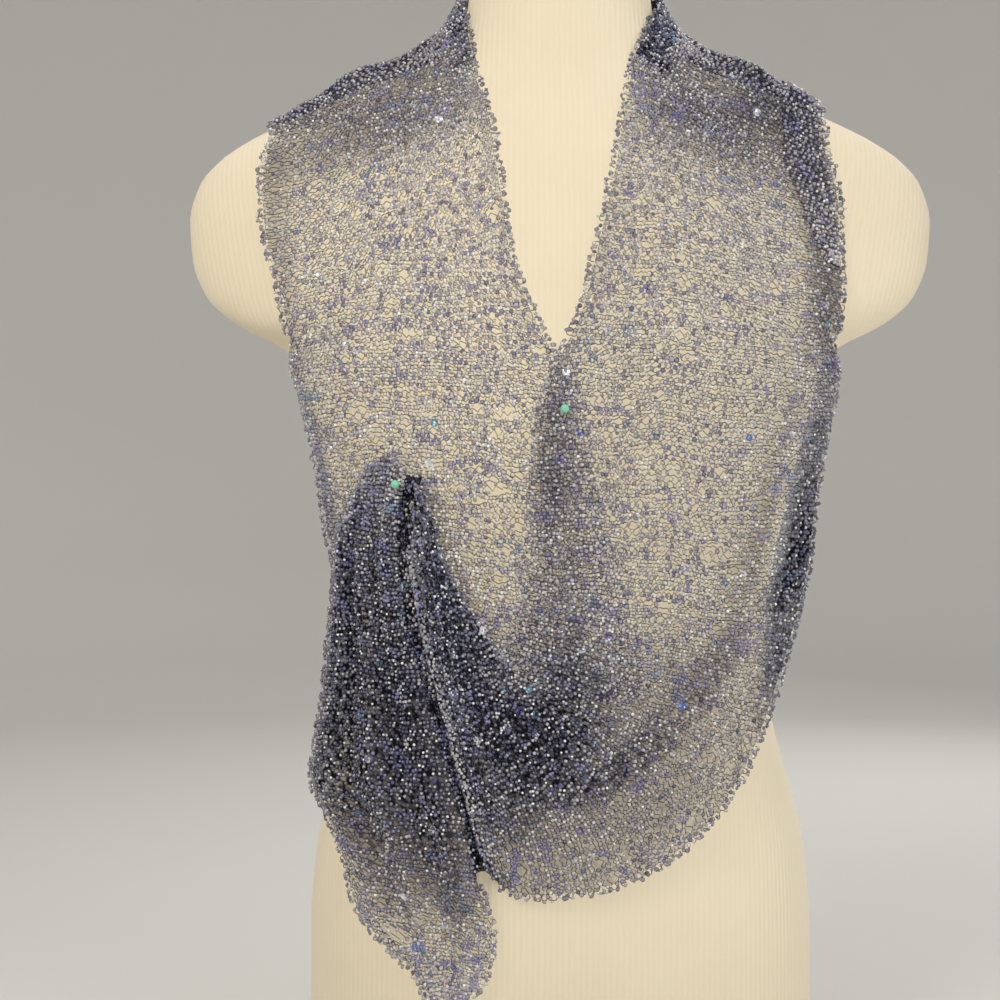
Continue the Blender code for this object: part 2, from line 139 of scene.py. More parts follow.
def section_sizes(height, cloth):
    """The sizes of the level section at each height, of the form or of the cloth's own level."""
    side = form_size("ease_side", height) if cloth else 0.0
    ease = form_size("ease_front", height) if cloth else 0.0
    return {
        "half": form_size("half", height) + side,
        "trunk": form_size("trunk", height) + side,
        "front": form_size("front", height) + ease,
        "back": form_size("back", height) + ease,
        "soften": form_size("soften", height),
    }


def section_depth(x, behind, sizes):
    """How far the surface stands in front of or behind the widest line, at x of a level section."""
    deep = np.where(behind, sizes["back"], sizes["front"])
    arm_share = np.clip((sizes["half"] - sizes["trunk"]) / ARM_REACH, 0, 1)
    flat = np.clip(1 - np.abs(x / sizes["trunk"]) ** TRUNK_SQUARENESS, 0, 1)
    trunk_depth = deep * flat ** (1 / TRUNK_SQUARENESS + sizes["soften"])
    round_end = np.clip(1 - np.abs(x / sizes["half"]) ** ARM_SQUARENESS, 0, 1)
    root = np.clip((np.abs(x / sizes["trunk"]) - ARM_ROOT[0]) / (ARM_ROOT[1] - ARM_ROOT[0]), 0, 1)
    arm_depth = ARM_DEPTH * arm_share * root**2 * (3 - 2 * root) * round_end ** (1 / ARM_SQUARENESS)
    return (trunk_depth**ARM_BLEND + arm_depth**ARM_BLEND) ** (1 / ARM_BLEND)


# The part is centred front to back, so its own sections lie this far from where the tables put them.
SHIFT_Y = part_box("dress_form")[0].y / MM + column(FORM_SECTIONS, FORM_COLUMNS, "front").max()


def form_ring(height, points, inset=0.0):
    """One level section of the form, from its right side round by the back, in millimetres."""
    angle = np.linspace(0, 2 * math.pi, points, endpoint=False)
    sizes = section_sizes(np.full(points, float(height)), False)
    x = sizes["half"] * np.cos(angle)
    behind = np.sin(angle) > 0
    y = section_depth(x, behind, sizes) * np.where(behind, 1, -1)
    y = np.where(np.isclose(np.sin(angle), 0), 0.0, y)
    narrow = 1 - inset / sizes["half"]
    return np.stack([x * narrow, y * narrow + SHIFT_Y, np.full(points, float(height))], axis=-1)


def solid_piece(name, points, faces, finish):
    """A shown object from points in millimetres and an array of faces with equally many corners."""
    mesh = bpy.data.meshes.new(name)
    mesh.vertices.add(len(points))
    mesh.vertices.foreach_set("co", (np.asarray(points) * MM).astype(np.float32).ravel())
    faces = np.asarray(faces)
    mesh.loops.add(faces.size)
    mesh.loops.foreach_set("vertex_index", faces.ravel().astype(np.int32))
    mesh.polygons.add(len(faces))
    starts = np.arange(len(faces)) * faces.shape[1]
    mesh.polygons.foreach_set("loop_start", starts.astype(np.int32))
    mesh.update(calc_edges=True)
    mesh.shade_smooth()
    mesh.materials.append(finish.material)
    piece = bpy.data.objects.new(name, mesh)
    bpy.context.scene.collection.objects.link(piece)
    return piece


def loft_faces(levels, around):
    """The quads between closed rings that lie one above another."""
    ring, place = np.meshgrid(np.arange(levels - 1), np.arange(around), indexing="ij")
    beside = (place + 1) % around
    corners = (ring * around + place, ring * around + beside)
    above = ((ring + 1) * around + beside, (ring + 1) * around + place)
    return np.stack([corners[0], corners[1], above[0], above[1]], axis=-1).reshape(-1, 4)


def add_round_cap(piece, ring_start, around, upward):
    """Closes one end ring with triangles between its own corners."""
    shape = bmesh.new()
    shape.from_mesh(piece.data)
    shape.verts.ensure_lookup_table()
    ring = [shape.verts[ring_start + i] for i in range(around)]
    face = shape.faces.new(ring if upward else ring[::-1])
    bmesh.ops.triangulate(shape, faces=[face])
    shape.to_mesh(piece.data)
    shape.free()


def add_end_caps(piece, around, turned_over=False):
    """Closes the first and the last ring of a piece."""
    last_ring = len(piece.data.vertices) - around
    add_round_cap(piece, 0, around, turned_over)
    add_round_cap(piece, last_ring, around, not turned_over)


def stands_for(piece, node):
    """Says which solid a piece replaces and the body it rides."""
    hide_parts(node)
    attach(piece, BODY)


def display(red, green, blue):
    """A colour given as it looks on a screen, as the shaders' own numbers."""
    return tuple(((value / 255 + 0.055) / 1.055) ** 2.4 for value in (red, green, blue)) + (1.0,)


class Finish:
    """A material with its shader, and short ways to add the nodes that a finish needs."""

    def __init__(self, name, numbers):
        self.material = bpy.data.materials.new(name)
        self.material.use_nodes = True
        self.tree = self.material.node_tree
        self.shader = self.tree.nodes["Principled BSDF"]
        for socket, number in numbers.items():
            self.shader.inputs[socket].default_value = number

    def add(self, kind, inputs, **settings):
        """A new node: each input gets a number, a colour or what another node gives."""
        node = self.tree.nodes.new(kind)
        for key, value in settings.items():
            setattr(node, key, value)
        for key, value in inputs.items():
            if isinstance(value, bpy.types.NodeSocket):
                self.tree.links.new(value, node.inputs[key])
            else:
                node.inputs[key].default_value = value
        return node.outputs

    def place(self):
        """Where each point lies on the object."""
        return self.add("ShaderNodeTexCoord", {})["Object"]

    def unrolled(self, name):
        """Where each point lies on the flat cloth."""
        return self.add("ShaderNodeUVMap", {}, uv_map=name)["UV"]

    def kept(self, name):
        """What the mesh says of each point under a name."""
        return self.add("ShaderNodeAttribute", {}, attribute_name=name)

    def noise(self, place, scale, detail, distortion=0.0, **settings):
        inputs = {"Vector": place, "Scale": scale, "Detail": detail, "Distortion": distortion}
        return self.add("ShaderNodeTexNoise", inputs, **settings)["Fac"]

    def reckoned(self, operation, *values, **settings):
        """Two numbers put together, or one number changed."""
        return self.add("ShaderNodeMath", dict(enumerate(values)), operation=operation, **settings)[0]

    def ranged(self, value, source, result):
        """A number brought from one range to another."""
        inputs = {"Value": value, "From Min": source[0], "From Max": source[1]}
        inputs |= {"To Min": result[0], "To Max": result[1]}
        return self.add("ShaderNodeMapRange", inputs)[0]

    def join(self, output, socket):
        self.tree.links.new(output, self.shader.inputs[socket])

    def paint(self, share, first, second):
        """Colours the surface from the first colour, where the share is 0, to the second."""
        tones = {"Factor": share, "A": first, "B": second}
        self.join(self.add("ShaderNodeMix", tones, data_type="RGBA")["Result"], "Base Color")

    def emboss(self, height, strength, distance):
        """Raises the surface's small relief."""
        relief = {"Height": height, "Strength": strength, "Distance": distance}
        self.join(self.add("ShaderNodeBump", relief)["Normal"], "Normal")


jersey = Finish("ribbed_jersey", {"Roughness": 0.82, "Sheen Weight": 0.25, "Sheen Roughness": 0.6})
ground = jersey.place()
drift = jersey.reckoned("MULTIPLY", jersey.noise(ground, scale=18.0, detail=2.0), RIB_DRIFT)
round_form = jersey.add("ShaderNodeSeparateXYZ", {0: jersey.unrolled("jersey")})["X"]
turns = jersey.reckoned("MULTIPLY", jersey.reckoned("ADD", round_form, drift), 2 * math.pi / RIB_PITCH)
rib = jersey.reckoned("SINE", turns)
knit = jersey.reckoned("MULTIPLY", jersey.noise(ground, scale=900.0, detail=3.0), KNIT_RELIEF)
jersey.emboss(jersey.reckoned("ADD", rib, knit), strength=0.28, distance=RELIEF_HEIGHT)
# Painted shade: the rib's grooves are coloured a little darker, towards the shade colour; the clouds are the
# jersey's own uneven tone.
rib_groove_shade = jersey.ranged(rib, source=(-1.0, 1.0), result=(0.16, 0.0))
cloud = jersey.noise(ground, scale=9.0, detail=4.0)
clouds = jersey.ranged(cloud, source=(0.35, 0.7), result=(0.0, 0.34))
jersey.paint(jersey.reckoned("ADD", rib_groove_shade, clouds), display(*JERSEY_LIGHT), display(*JERSEY_SHADE))

form_levels = np.linspace(FORM_BOTTOM, FORM_TOP, round((FORM_TOP - FORM_BOTTOM) / FORM_LEVEL_GAP) + 1)
form_rings = np.array([form_ring(height, FORM_ROUND_POINTS) for height in form_levels])
form_faces = loft_faces(len(form_levels), FORM_ROUND_POINTS)
form = solid_piece("form_torso", form_rings.reshape(-1, 3), form_faces, jersey)


def jersey_map(piece, rings, faces):
    """Unrolls the cover: across is the way round from the middle of the front or of the back."""
    around = rings.shape[1]
    quarter, half_round = around // 4, around // 2
    steps = np.linalg.norm(np.roll(rings, -1, axis=1) - rings, axis=-1)
    run = np.concatenate([np.zeros((len(rings), 1)), np.cumsum(steps, axis=1)], axis=1)
    level, corner = np.divmod(faces, around)
    on_back = (faces[:, :1] % around) < half_round
    corner = np.where(~on_back & (corner == 0), around, corner)
    middle = np.where(on_back, quarter, around - quarter)
    u = (run[level, corner] - run[level, middle]) * MM
    v = rings[level, 0, 2] * MM
    layer = piece.data.uv_layers.new(name="jersey")
    layer.data.foreach_set("uv", np.stack([u, v], axis=-1).astype(np.float32).ravel())


jersey_map(form, form_rings, form_faces)
add_end_caps(form, FORM_ROUND_POINTS)
stands_for(form, "dress_form")

# Neck cap: a turned and sanded beech disc, a little wider than the neck, screwed on over the jersey's end.
# Each ring's rise over the neck's end, in millimetres, and its share of the neck's size.
CAP_SECTIONS = (
    (0.3, 0.99),
    (0.9, 1.025),
    (2.2, 1.04),
    (4.3, 1.045),
    (6.6, 1.035),
    (8.3, 1.0),
    (9.8, 0.95),
    (11.3, 0.86),
    (12.4, 0.74),
    (13.2, 0.58),
    (13.7, 0.4),
    (13.9, 0.2),
)
CAP_ROUND_POINTS = 96
WOOD_LIGHT = (150, 112, 74)
WOOD_DARK = (98, 68, 42)


def wood_finish(name, fineness):
    """Satin-varnished wood: its grain is that many times finer along x, y and z."""
    wood = Finish(name, {"Coat Weight": 0.3})
    laid = wood.add("ShaderNodeMapping", {"Vector": wood.place(), "Scale": fineness})[0]
    grain = wood.noise(laid, scale=6.0, detail=6.0, distortion=0.8)
    bands = {"Vector": laid, "Scale": 1.1, "Distortion": 9.0, "Detail": 3.0}
    rings = wood.add("ShaderNodeTexWave", bands, bands_direction="Y")["Fac"]
    wood.paint(wood.reckoned("MULTIPLY", grain, rings), display(*WOOD_DARK), display(*WOOD_LIGHT))
    wood.join(wood.ranged(grain, source=(0.0, 1.0), result=(0.32, 0.55)), "Roughness")
    wood.emboss(grain, strength=0.15, distance=0.0004)
    return wood


def lofted(name, rings, finish, turned_over=False):
    """One piece from closed rings that lie one above another."""
    faces = loft_faces(len(rings), len(rings[0]))
    return solid_piece(name, np.concatenate(rings), faces[:, ::-1] if turned_over else faces, finish)


cap_rings = []
for rise, share in CAP_SECTIONS:
    ring = form_ring(FORM_TOP, CAP_ROUND_POINTS)
    ring[:, 0] *= share
    ring[:, 1] = (ring[:, 1] - SHIFT_Y) * share + SHIFT_Y
    ring[:, 2] += rise
    cap_rings.append(ring)
cap = lofted("form_cap", cap_rings, wood_finish("cap_wood", fineness=(3.0, 30.0, 30.0)))
add_end_caps(cap, CAP_ROUND_POINTS)
stands_for(cap, "form_neck_cap")

# Base board: 12 mm of varnished plywood sawn to the hips' outline, its edges rounded over. The jersey is
# stapled to its upper side and the form stands on it.
# Each ring's height and how far it lies inside the hips' outline, in millimetres.
BOARD_SECTIONS = (
    (0.0, 5.0),
    (0.6, 3.9),
    (2.0, 3.1),
    (4.0, 3.0),
    (8.0, 3.0),
    (10.0, 3.1),
    (11.4, 3.9),
    (12.0, 5.0),
)
BOARD_ROUND_POINTS = 128

board_rings = []
for height, inset in BOARD_SECTIONS:
    ring = form_ring(0, BOARD_ROUND_POINTS, inset)
    ring[:, 2] = height
    board_rings.append(ring)
board_wood = wood_finish("board_wood", fineness=(2.0, 24.0, 60.0))
board = lofted("form_board", board_rings, board_wood)
add_end_caps(board, BOARD_ROUND_POINTS)
stands_for(board, "form_base_board")

# Left front of the scarf: hand-knit on thin dark thread with glass beads at its stitches, cup sequins strung
# among the beads and small bead loops along both edges. It hangs from the shoulder down the chest.
NECK_AXIS_Y = 9.0
CLOTH_WALL = 1.6
GATHERED_WALL = 2.0
# How wide a long fold is, as a share of the cloth's width.
FOLD_WIDTH = 0.06
# A point of the cloth's level is found by halving this reach so many times, and the level's slope is
# measured over a nudge each way, in millimetres and degrees.
FARTHEST_REACH = 330.0
HALVINGS = 30
NUDGE = 0.5
SURFACE_GAP = 3.0
# The band is one smooth run from shoulder to pin, so the rows of all its stretches stand here together. Each
# row has the places of its two edges, how far they stand off, and the height of its gathers and of one fold.
FRONT_EDGES = ("outer_x", "outer_z", "inner_x", "inner_z")
FRONT_COLUMNS = FRONT_EDGES + ("outer_lift", "inner_lift", "gather", "fold_at", "fold_height")
LEFT_FRONT = (
    (-129, 266, 47, 269, 0.6, 0.6, 0, 0.3, 0),
    (-139, 304, 41, 307, 0.6, 0.6, 0, 0.3, 0),
    (-147, 346, 32, 345, 0.6, 0.6, 0, 0.3, 0),
    (-155, 382, 21, 382, 0.6, 0.6, 0, 0.3, 0),
    (-161, 421, 13, 417, 0.6, 0.6, 0, 0.3, 0),
    (-169, 461, 7, 459, 3, 0.9, 0, 0.3, 0),
    (-175, 494, -13, 495, 5.5, 1.7, 0, 0.3, 0),
    (-185, 533, -33, 543, 6.5, 2.5, 0, 0.3, 0),
    (-197, 570, -41, 595, 5, 2.6, 0, 0.3, 0),
    (-200, 604, -49, 648, 3.5, 2.2, 0, 0.3, 0),
    (-193, 640, -59, 686, 2.8, 2.8, 0, 0.3, 0),
)
NECK_COLUMNS = ("outer_turn", "outer_z", "inner_turn", "inner_z", "outer_lift", "inner_lift", "bridge")
ROUND_NECK = (
    (183, 655, 206, 725, 3.5, 5, 5),
    (168, 661, 184, 741, 3.5, 6, 8),
    (139, 627, 156, 750, 3.5, 6, 10),
    (114, 602, 122, 753, 3, 5, 11),
    (90, 594, 90, 754, 3, 5, 11),
    (66, 602, 58, 753, 3, 5, 11),
    (41, 627, 24, 750, 3.5, 6, 10),
    (10, 664, -4, 741, 3.5, 6, 8),
    (-11, 656, -26, 725, 3.5, 5, 5),
)
RIGHT_FRONT = (
    (177, 626, 48, 692, 3, 3, 0, 0.05, 0),
    (184, 596, 39, 644, 4, 3.3, 0, 0.05, 0),
    (184, 563, 30, 595, 5, 3.3, 0, 0.05, 0),
    (183, 529, 20, 552, 6.5, 3.3, 0, 0.05, 0),
    (179, 494, 9, 510, 5.5, 3.3, 0, 0.05, 0),
    (178, 465, -6, 479, 4.5, 3.3, 0, 0.05, 0),
    (170, 431, -16, 445, 3.3, 3.3, 0, 0.05, 0),
    (164, 395, -19, 401, 3.3, 3.3, 0, 0.05, 0),
    (159, 355, -21, 370, 3.3, 3.3, 0, 0.07, 2),
    (150, 320, -25, 338, 3.3, 3.3, 0, 0.14, 4),
)
SWAG = (
    (141, 291, -29, 319, 3.3, 3.3, 0, 0.24, 5),
    (125, 247, -34, 304, 3.3, 3.3, 0, 0.26, 5),
    (100, 202, -40, 297, 3.3, 3.3, 0.5, 0.32, 5),
    (60, 166, -48, 307, 3.3, 3.3, 1.0, 0.32, 5),
    (15, 149, -55, 319, 3.3, 3.3, 1.5, 0.34, 4),
    (-22, 146, -64, 332, 3.3, 3.3, 2.2, 0.34, 3),
    (-46, 157, -72, 347, 3.3, 3.3, 3.0, 0.34, 2),
    (-62, 205, -79, 366, 3.3, 3.3, 3.5, 0.34, 0),
    (-77, 259, -84, 385, 3.3, 3.3, 3.5, 0.34, 0),
    (-89, 306, -88, 400, 3.3, 3.3, 3.0, 0.34, 0),
    (-99, 362, -92, 412, 3.3, 3.3, 2.2, 0.34, 0),
)


def on_cloth_level(turn, height):
    """The point of the cloth's level at an angle round the neck's axis, seen from above, and a height."""
    turn = np.radians(turn)
    sizes = section_sizes(height, True)
    near = np.zeros_like(height)
    far = np.full_like(height, FARTHEST_REACH)
    for _ in range(HALVINGS):
        reach = (near + far) / 2
        y = NECK_AXIS_Y + reach * np.sin(turn)
        inside = np.abs(y) < section_depth(reach * np.cos(turn), y > 0, sizes)
        near = np.where(inside, reach, near)
        far = np.where(inside, far, reach)
    return np.stack([near * np.cos(turn), NECK_AXIS_Y + near * np.sin(turn), height], axis=-1)


def length_of(vectors):
    return np.linalg.norm(vectors, axis=-1)


def unit(vectors):
    """The same directions, each of length 1."""
    return vectors / np.maximum(length_of(vectors), 1e-9)[..., None]


def lifted(turn, height, lift):
    """That point moved out along the level's normal."""
    across = on_cloth_level(turn + NUDGE, height) - on_cloth_level(turn - NUDGE, height)
    up = on_cloth_level(turn, height + NUDGE) - on_cloth_level(turn, height - NUDGE)
    outward = unit(np.cross(across, up))
    return on_cloth_level(turn, height) + outward * lift[..., None] + np.array([0, SHIFT_Y, 0])


def turn_at(x, height, left):
    """The angle round the neck's axis of a front point; the left side counts on past 180 degrees."""
    y = -section_depth(x, np.zeros(len(x), bool), section_sizes(height, True))
    turn = np.degrees(np.arctan2(y - NECK_AXIS_Y, x))
    return turn % 360 if left else turn


def front_rows(rows, left):
    """A front table as the numbers that every row of the scarf has."""
    heights = {edge: column(rows, FRONT_COLUMNS, edge + "_z") for edge in ("outer", "inner")}
    found = {name: column(rows, FRONT_COLUMNS, name) for name in FRONT_COLUMNS[len(FRONT_EDGES):]}
    for edge in ("outer", "inner"):
        found[edge + "_turn"] = turn_at(column(rows, FRONT_COLUMNS, edge + "_x"), heights[edge], left)
        found[edge + "_z"] = heights[edge]
    found["bridge"] = np.zeros(len(rows))
    return found


# The neck's one long fold: its place as a share of the width, and its height in millimetres.
NECK_FOLD_AT = 0.3
NECK_FOLD_HEIGHT = 2.0


def neck_rows():
    """The neck's table as the same numbers."""
    found = {name: column(ROUND_NECK, NECK_COLUMNS, name) for name in NECK_COLUMNS}
    found["gather"] = np.zeros(len(ROUND_NECK))
    found["fold_at"] = np.full(len(ROUND_NECK), NECK_FOLD_AT)
    found["fold_height"] = np.full(len(ROUND_NECK), NECK_FOLD_HEIGHT)
    return found


parts = (front_rows(LEFT_FRONT, True), neck_rows(), front_rows(RIGHT_FRONT, False), front_rows(SWAG, False))
route = {name: np.concatenate([part[name] for part in parts]) for name in parts[0]}
# Creases and shaded strips are drawn, each from a row and a share of the width to another, with its half
# width in millimetres and its height, or how densely the net lies there.
STRIP_ENDS = 0.07
DENSITY_CRISPNESS = 4


def drawn_strips(strips, along, across, row_length, width, crispness=2):
    """The sum of the soft strips at places of the cloth."""
    total = np.zeros_like(along)
    for strip in strips:
        from_row, from_across, to_row, to_across, wide, high = strip
        start = np.array([from_row * row_length, from_across * width])
        way = np.array([to_row * row_length, to_across * width]) - start
        offset = np.stack([along * row_length, across * width], axis=-1) - start
        share = np.clip(offset @ way / (way @ way), 0, 1)
        off = length_of(offset - share[..., None] * way)
        taper = np.sin(math.pi * np.clip(share * (1 - 2 * STRIP_ENDS) + STRIP_ENDS, 0, 1))
        total += high * taper**0.5 * np.exp(-((off / wide) ** crispness))
    return total


def cloth_points(rows, along, across, size, row_length, width):
    """Points of a stretch at places along its rows and across its width, 0 at the outer edge."""
    number = np.arange(len(rows["outer_z"]), dtype=float)
    row = {name: smooth(number, values, along) for name, values in rows.items()}
    turn = row["outer_turn"] + (row["inner_turn"] - row["outer_turn"]) * across
    height = row["outer_z"] + (row["inner_z"] - row["outer_z"]) * across
    height = height + size["arch"] * np.clip(1 - along, 0, 1) ** 2 * 4 * across * (1 - across)
    lift = row["outer_lift"] + (row["inner_lift"] - row["outer_lift"]) * across
    lift = lift + row["bridge"] * 4 * across * (1 - across)
    lift = lift + row["gather"] * (1 - np.cos(2 * math.pi * size["gathers"] * across))
    lift = lift + row["fold_height"] * np.exp(-(((across - row["fold_at"]) / FOLD_WIDTH) ** 2))
    lift = lift + drawn_strips(size["creases"], along, across, row_length, width)
    return lifted(turn, height, lift + size["extra"] + size["wall"] / 2)


def outward_normals(points):
    """The normals of a grid of points, on the side away from the form."""
    normals = unit(np.cross(np.gradient(points, axis=1), np.gradient(points, axis=0)))
    outward = points[..., :2] - np.array([0.0, SHIFT_Y])
    return normals if (normals[..., :2] * outward).sum() > 0 else -normals


SPAN_STEPS = 60


def cloth_surface(rows, span, across_span, size, narrowing=None):
    """A fine grid of points over a stretch of the scarf, half-way through its wall."""
    plain = size | {"creases": ()}
    middle = np.full(SPAN_STEPS, (across_span[0] + across_span[1]) / 2)
    down_line = cloth_points(rows, np.linspace(*span, SPAN_STEPS), middle, plain, 1, 1)
    middle = np.full(SPAN_STEPS, (span[0] + span[1]) / 2)
    over_line = cloth_points(rows, middle, np.linspace(*across_span, SPAN_STEPS), plain, 1, 1)
    length = length_of(np.diff(down_line, axis=0)).sum()
    width = length_of(np.diff(over_line, axis=0)).sum()
    row_length = length / (span[1] - span[0])
    whole_width = width / (across_span[1] - across_span[0])
    # Each count is odd, so that every second point still ends on both edges.
    along = np.linspace(*span, 2 * round(length / SURFACE_GAP / 2) + 1)
    across = np.linspace(*across_span, 2 * round(width / SURFACE_GAP / 2) + 1)
    along, across = np.meshgrid(along, across, indexing="ij")
    if narrowing:
        across = across_span[0] + (across - across_span[0]) * np.interp(along, *narrowing)
    points = cloth_points(rows, along, across, size, row_length, whole_width)
    found = {"points": points, "normals": outward_normals(points), "along": along, "across": across}
    return found | {"span": span, "row_length": row_length, "width": whole_width}


def layers_and_shade_map(surface, base, strips):
    """How densely the net lies over itself at each point, with the painted shade drawn over it: 0 for one
    open layer, 1 for a dark heap.
    """
    along, across = surface["along"], surface["across"]
    drawn = drawn_strips(strips, along, across, surface["row_length"], surface["width"], DENSITY_CRISPNESS)
    return np.clip(base + drawn, 0, 1)


def between(grid, down, over):
    """A grid's values at shares down its rows and over its width."""
    high, wide = grid.shape[:2]
    down = np.clip(down, 0, 1) * (high - 1)
    over = np.clip(over, 0, 1) * (wide - 1)
    i = np.clip(down.astype(int), 0, high - 2)
    j = np.clip(over.astype(int), 0, wide - 2)
    a, b = down - i, over - j
    if grid.ndim == 3:
        a, b = a[..., None], b[..., None]
    upper = grid[i, j] * (1 - b) + grid[i, j + 1] * b
    lower = grid[i + 1, j] * (1 - b) + grid[i + 1, j + 1] * b
    return upper * (1 - a) + lower * a


# The net: its thread, how many stitches lie across it, and how far apart its rows are, in millimetres.
THREAD_RADIUS = 0.32
STITCHES = 52
ROW_GAP = 2.9
# Each bend lies this far above or below its row, in rows, and as far off the cloth's face, in millimetres.
ZIGZAG = 0.25
# A row is left out where it runs closer to the next than the first gap, or farther from it than the second.
LEAST_GAP = 1.7
WIDEST_GAP = 9.0
# The room that one bead takes, in square millimetres, and the most of a gap that counts as room.
STITCH_ROOM = 9.6
MOST_GAP = 3.4
# Loose spots in the net: for how many stitches there is one, how wide it is and how far it pushes them.
STITCHES_A_SPOT = 22
SPOT_RADII = (3.0, 6.5)
SPOT_PULLS = (1.0, 3.8)
# Waves through the rows: how far they push, and their lengths across the net and down it.
WAVES = ((1.5, 23.0, 1e9), (0.9, 9.5, 40.0))
# The net has rows for this share of its longest line, and each bend of its thread wanders a little: in rows,
# in bends and in millimetres off the cloth.
LONG_LINE = 0.9
ROW_WANDER = 0.12
BEND_WANDER = 0.2
LIFT_WANDER = 0.12


def thread_tubes(points, normals, keep):
    """Three-sided tubes along rows of bends; keep says which of the stretches between bends are there."""
    side = unit(np.cross(np.gradient(points, axis=1), normals))
    bends = points.shape[1]
    ring = []
    for angle in np.radians((0, 120, 240)):
        ring.append(points + THREAD_RADIUS * (math.cos(angle) * normals + math.sin(angle) * side))
    corners = np.stack(ring, axis=2).reshape(-1, 3)
    row, bend = np.nonzero(keep)
    start = (row * bends + bend) * 3
    faces = []
    for k in range(3):
        beside = (k + 1) % 3
        faces.append(np.stack([start + k, start + beside, start + 3 + beside, start + 3 + k], axis=-1))
    used, faces = np.unique(np.concatenate(faces), return_inverse=True)
    return corners[used], faces.reshape(-1, 4)


def stitch_net(surface, stitches, row_gap, loose, seed):
    """One stretch's net: its rows and stitches, and where each place among them lies on the cloth."""
    rng = np.random.default_rng(seed)
    down_steps = length_of(np.diff(surface["points"], axis=0))
    width = length_of(np.diff(surface["points"], axis=1)).sum(axis=1).mean()
    length = row_gap * round(np.quantile(down_steps.sum(axis=0), LONG_LINE) / row_gap)
    run = np.concatenate([[0], np.cumsum(down_steps.mean(axis=1))])
    shares = np.linspace(0, 1, len(run))
    spots = [(share * length, over * width, radius, pull) for share, over, radius, pull in loose]
    for _ in range(int(length / row_gap * stitches / STITCHES_A_SPOT)):
        where = (rng.uniform(0, length), rng.uniform(0, width))
        spots.append(where + (rng.uniform(*SPOT_RADII), rng.uniform(*SPOT_PULLS)))

    def place(row, over):
        """Shares down and over the surface of a place in the net, pushed about by waves and loose spots."""
        down_mm = row * row_gap
        over_mm = over * width
        waves = [high * np.sin(over_mm / wide + down_mm / long + seed) for high, wide, long in WAVES]
        moved_down = down_mm + sum(waves)
        moved_over = over_mm.copy()
        for at_down, at_over, radius, pull in spots:
            far_down = down_mm - at_down
            far_over = over_mm - at_over
            push = pull / radius * np.exp(-(far_down**2 + far_over**2) / radius**2)
            moved_down += far_down * push
            moved_over += far_over * push
        share = np.clip(moved_down / length, 0, 1)
        return np.interp(share * run[-1], run, shares), np.clip(moved_over / width, 0, 1)

    return {
        "surface": surface,
        "rng": rng,
        "place": place,
        "rows": round(length / row_gap),
        "row_gap": row_gap,
        "stitches": stitches,
        "seed": seed,
    }


def net_thread(net):
    """The rows of zigzag thread, and for every bend whether it is there and how much room it has."""
    surface, rng = net["surface"], net["rng"]
    rows, bends = net["rows"], 2 * net["stitches"] + 1
    row, bend = np.meshgrid(np.arange(rows, dtype=float), np.arange(bends, dtype=float), indexing="ij")
    zigzag = np.where((row + bend) % 2 == 0, ZIGZAG, -ZIGZAG)
    at_row = row + 0.5 + zigzag + rng.normal(0, ROW_WANDER, row.shape)
    at_over = (bend + rng.normal(0, BEND_WANDER, row.shape)) / (bends - 1)
    at_over[:, 0] = 0
    at_over[:, -1] = 1
    down, over = net["place"](at_row, at_over)
    normals = unit(between(surface["normals"], down, over))
    off_cloth = rng.normal(0, LIFT_WANDER, row.shape) + zigzag
    points = between(surface["points"], down, over) + normals * off_cloth[..., None]
    gap = length_of(points[2:] - points[:-2]) / 2
    gap = np.concatenate([gap[:1], gap, gap[-1:]])
    # Where rows run together at a gather, only every second, fourth or eighth row goes on.
    number = np.arange(rows) + 1
    power = (number & -number).astype(float)[:, None]
    whole = (gap * power > LEAST_GAP) & (gap < WIDEST_GAP)
    stretch = length_of(np.diff(points, axis=1))
    corners, faces = thread_tubes(points, normals, whole[:, :-1] & whole[:, 1:])
    return corners, faces, whole, np.minimum(gap * power, MOST_GAP), stretch


# How many corners a bead's girdle has, and a cup sequin's rings: the hole, the floor and the flared rim, each
# with its share of the radius and its rise.
GIRDLE_CORNERS = 6
CUP_CORNERS = 12
CUP_RINGS = ((0.17, -0.16), (0.5, -0.13), (1.0, 0.15))


def ring_corners(count, radius=1.0, rise=0.0):
    """Corners evenly round Z."""
    turns = np.radians(np.arange(count) * 360 / count)
    return [(radius * math.cos(a), radius * math.sin(a), rise) for a in turns]


def glass_bead():
    """A faceted bead of radius 1 round Z: a girdle of corners between two poles."""
    corners = [(0, 0, 1.0)] + ring_corners(GIRDLE_CORNERS) + [(0, 0, -1.0)]
    lower_pole = len(corners) - 1
    faces = []
    for i in range(GIRDLE_CORNERS):
        beside = (i + 1) % GIRDLE_CORNERS
        faces += [(0, 1 + i, 1 + beside), (lower_pole, 1 + beside, 1 + i)]
    return np.array(corners, float), np.array(faces)


def cup_sequin():
    """A cup sequin of radius 1 that opens along Z."""
    corners = [corner for radius, rise in CUP_RINGS for corner in ring_corners(CUP_CORNERS, radius, rise)]
    faces = []
    for ring in range(len(CUP_RINGS) - 1):
        for i in range(CUP_CORNERS):
            a = ring * CUP_CORNERS + i
            b = ring * CUP_CORNERS + (i + 1) % CUP_CORNERS
            faces += [(a, a + CUP_CORNERS, b + CUP_CORNERS), (a, b + CUP_CORNERS, b)]
    return np.array(corners, float), np.array(faces)


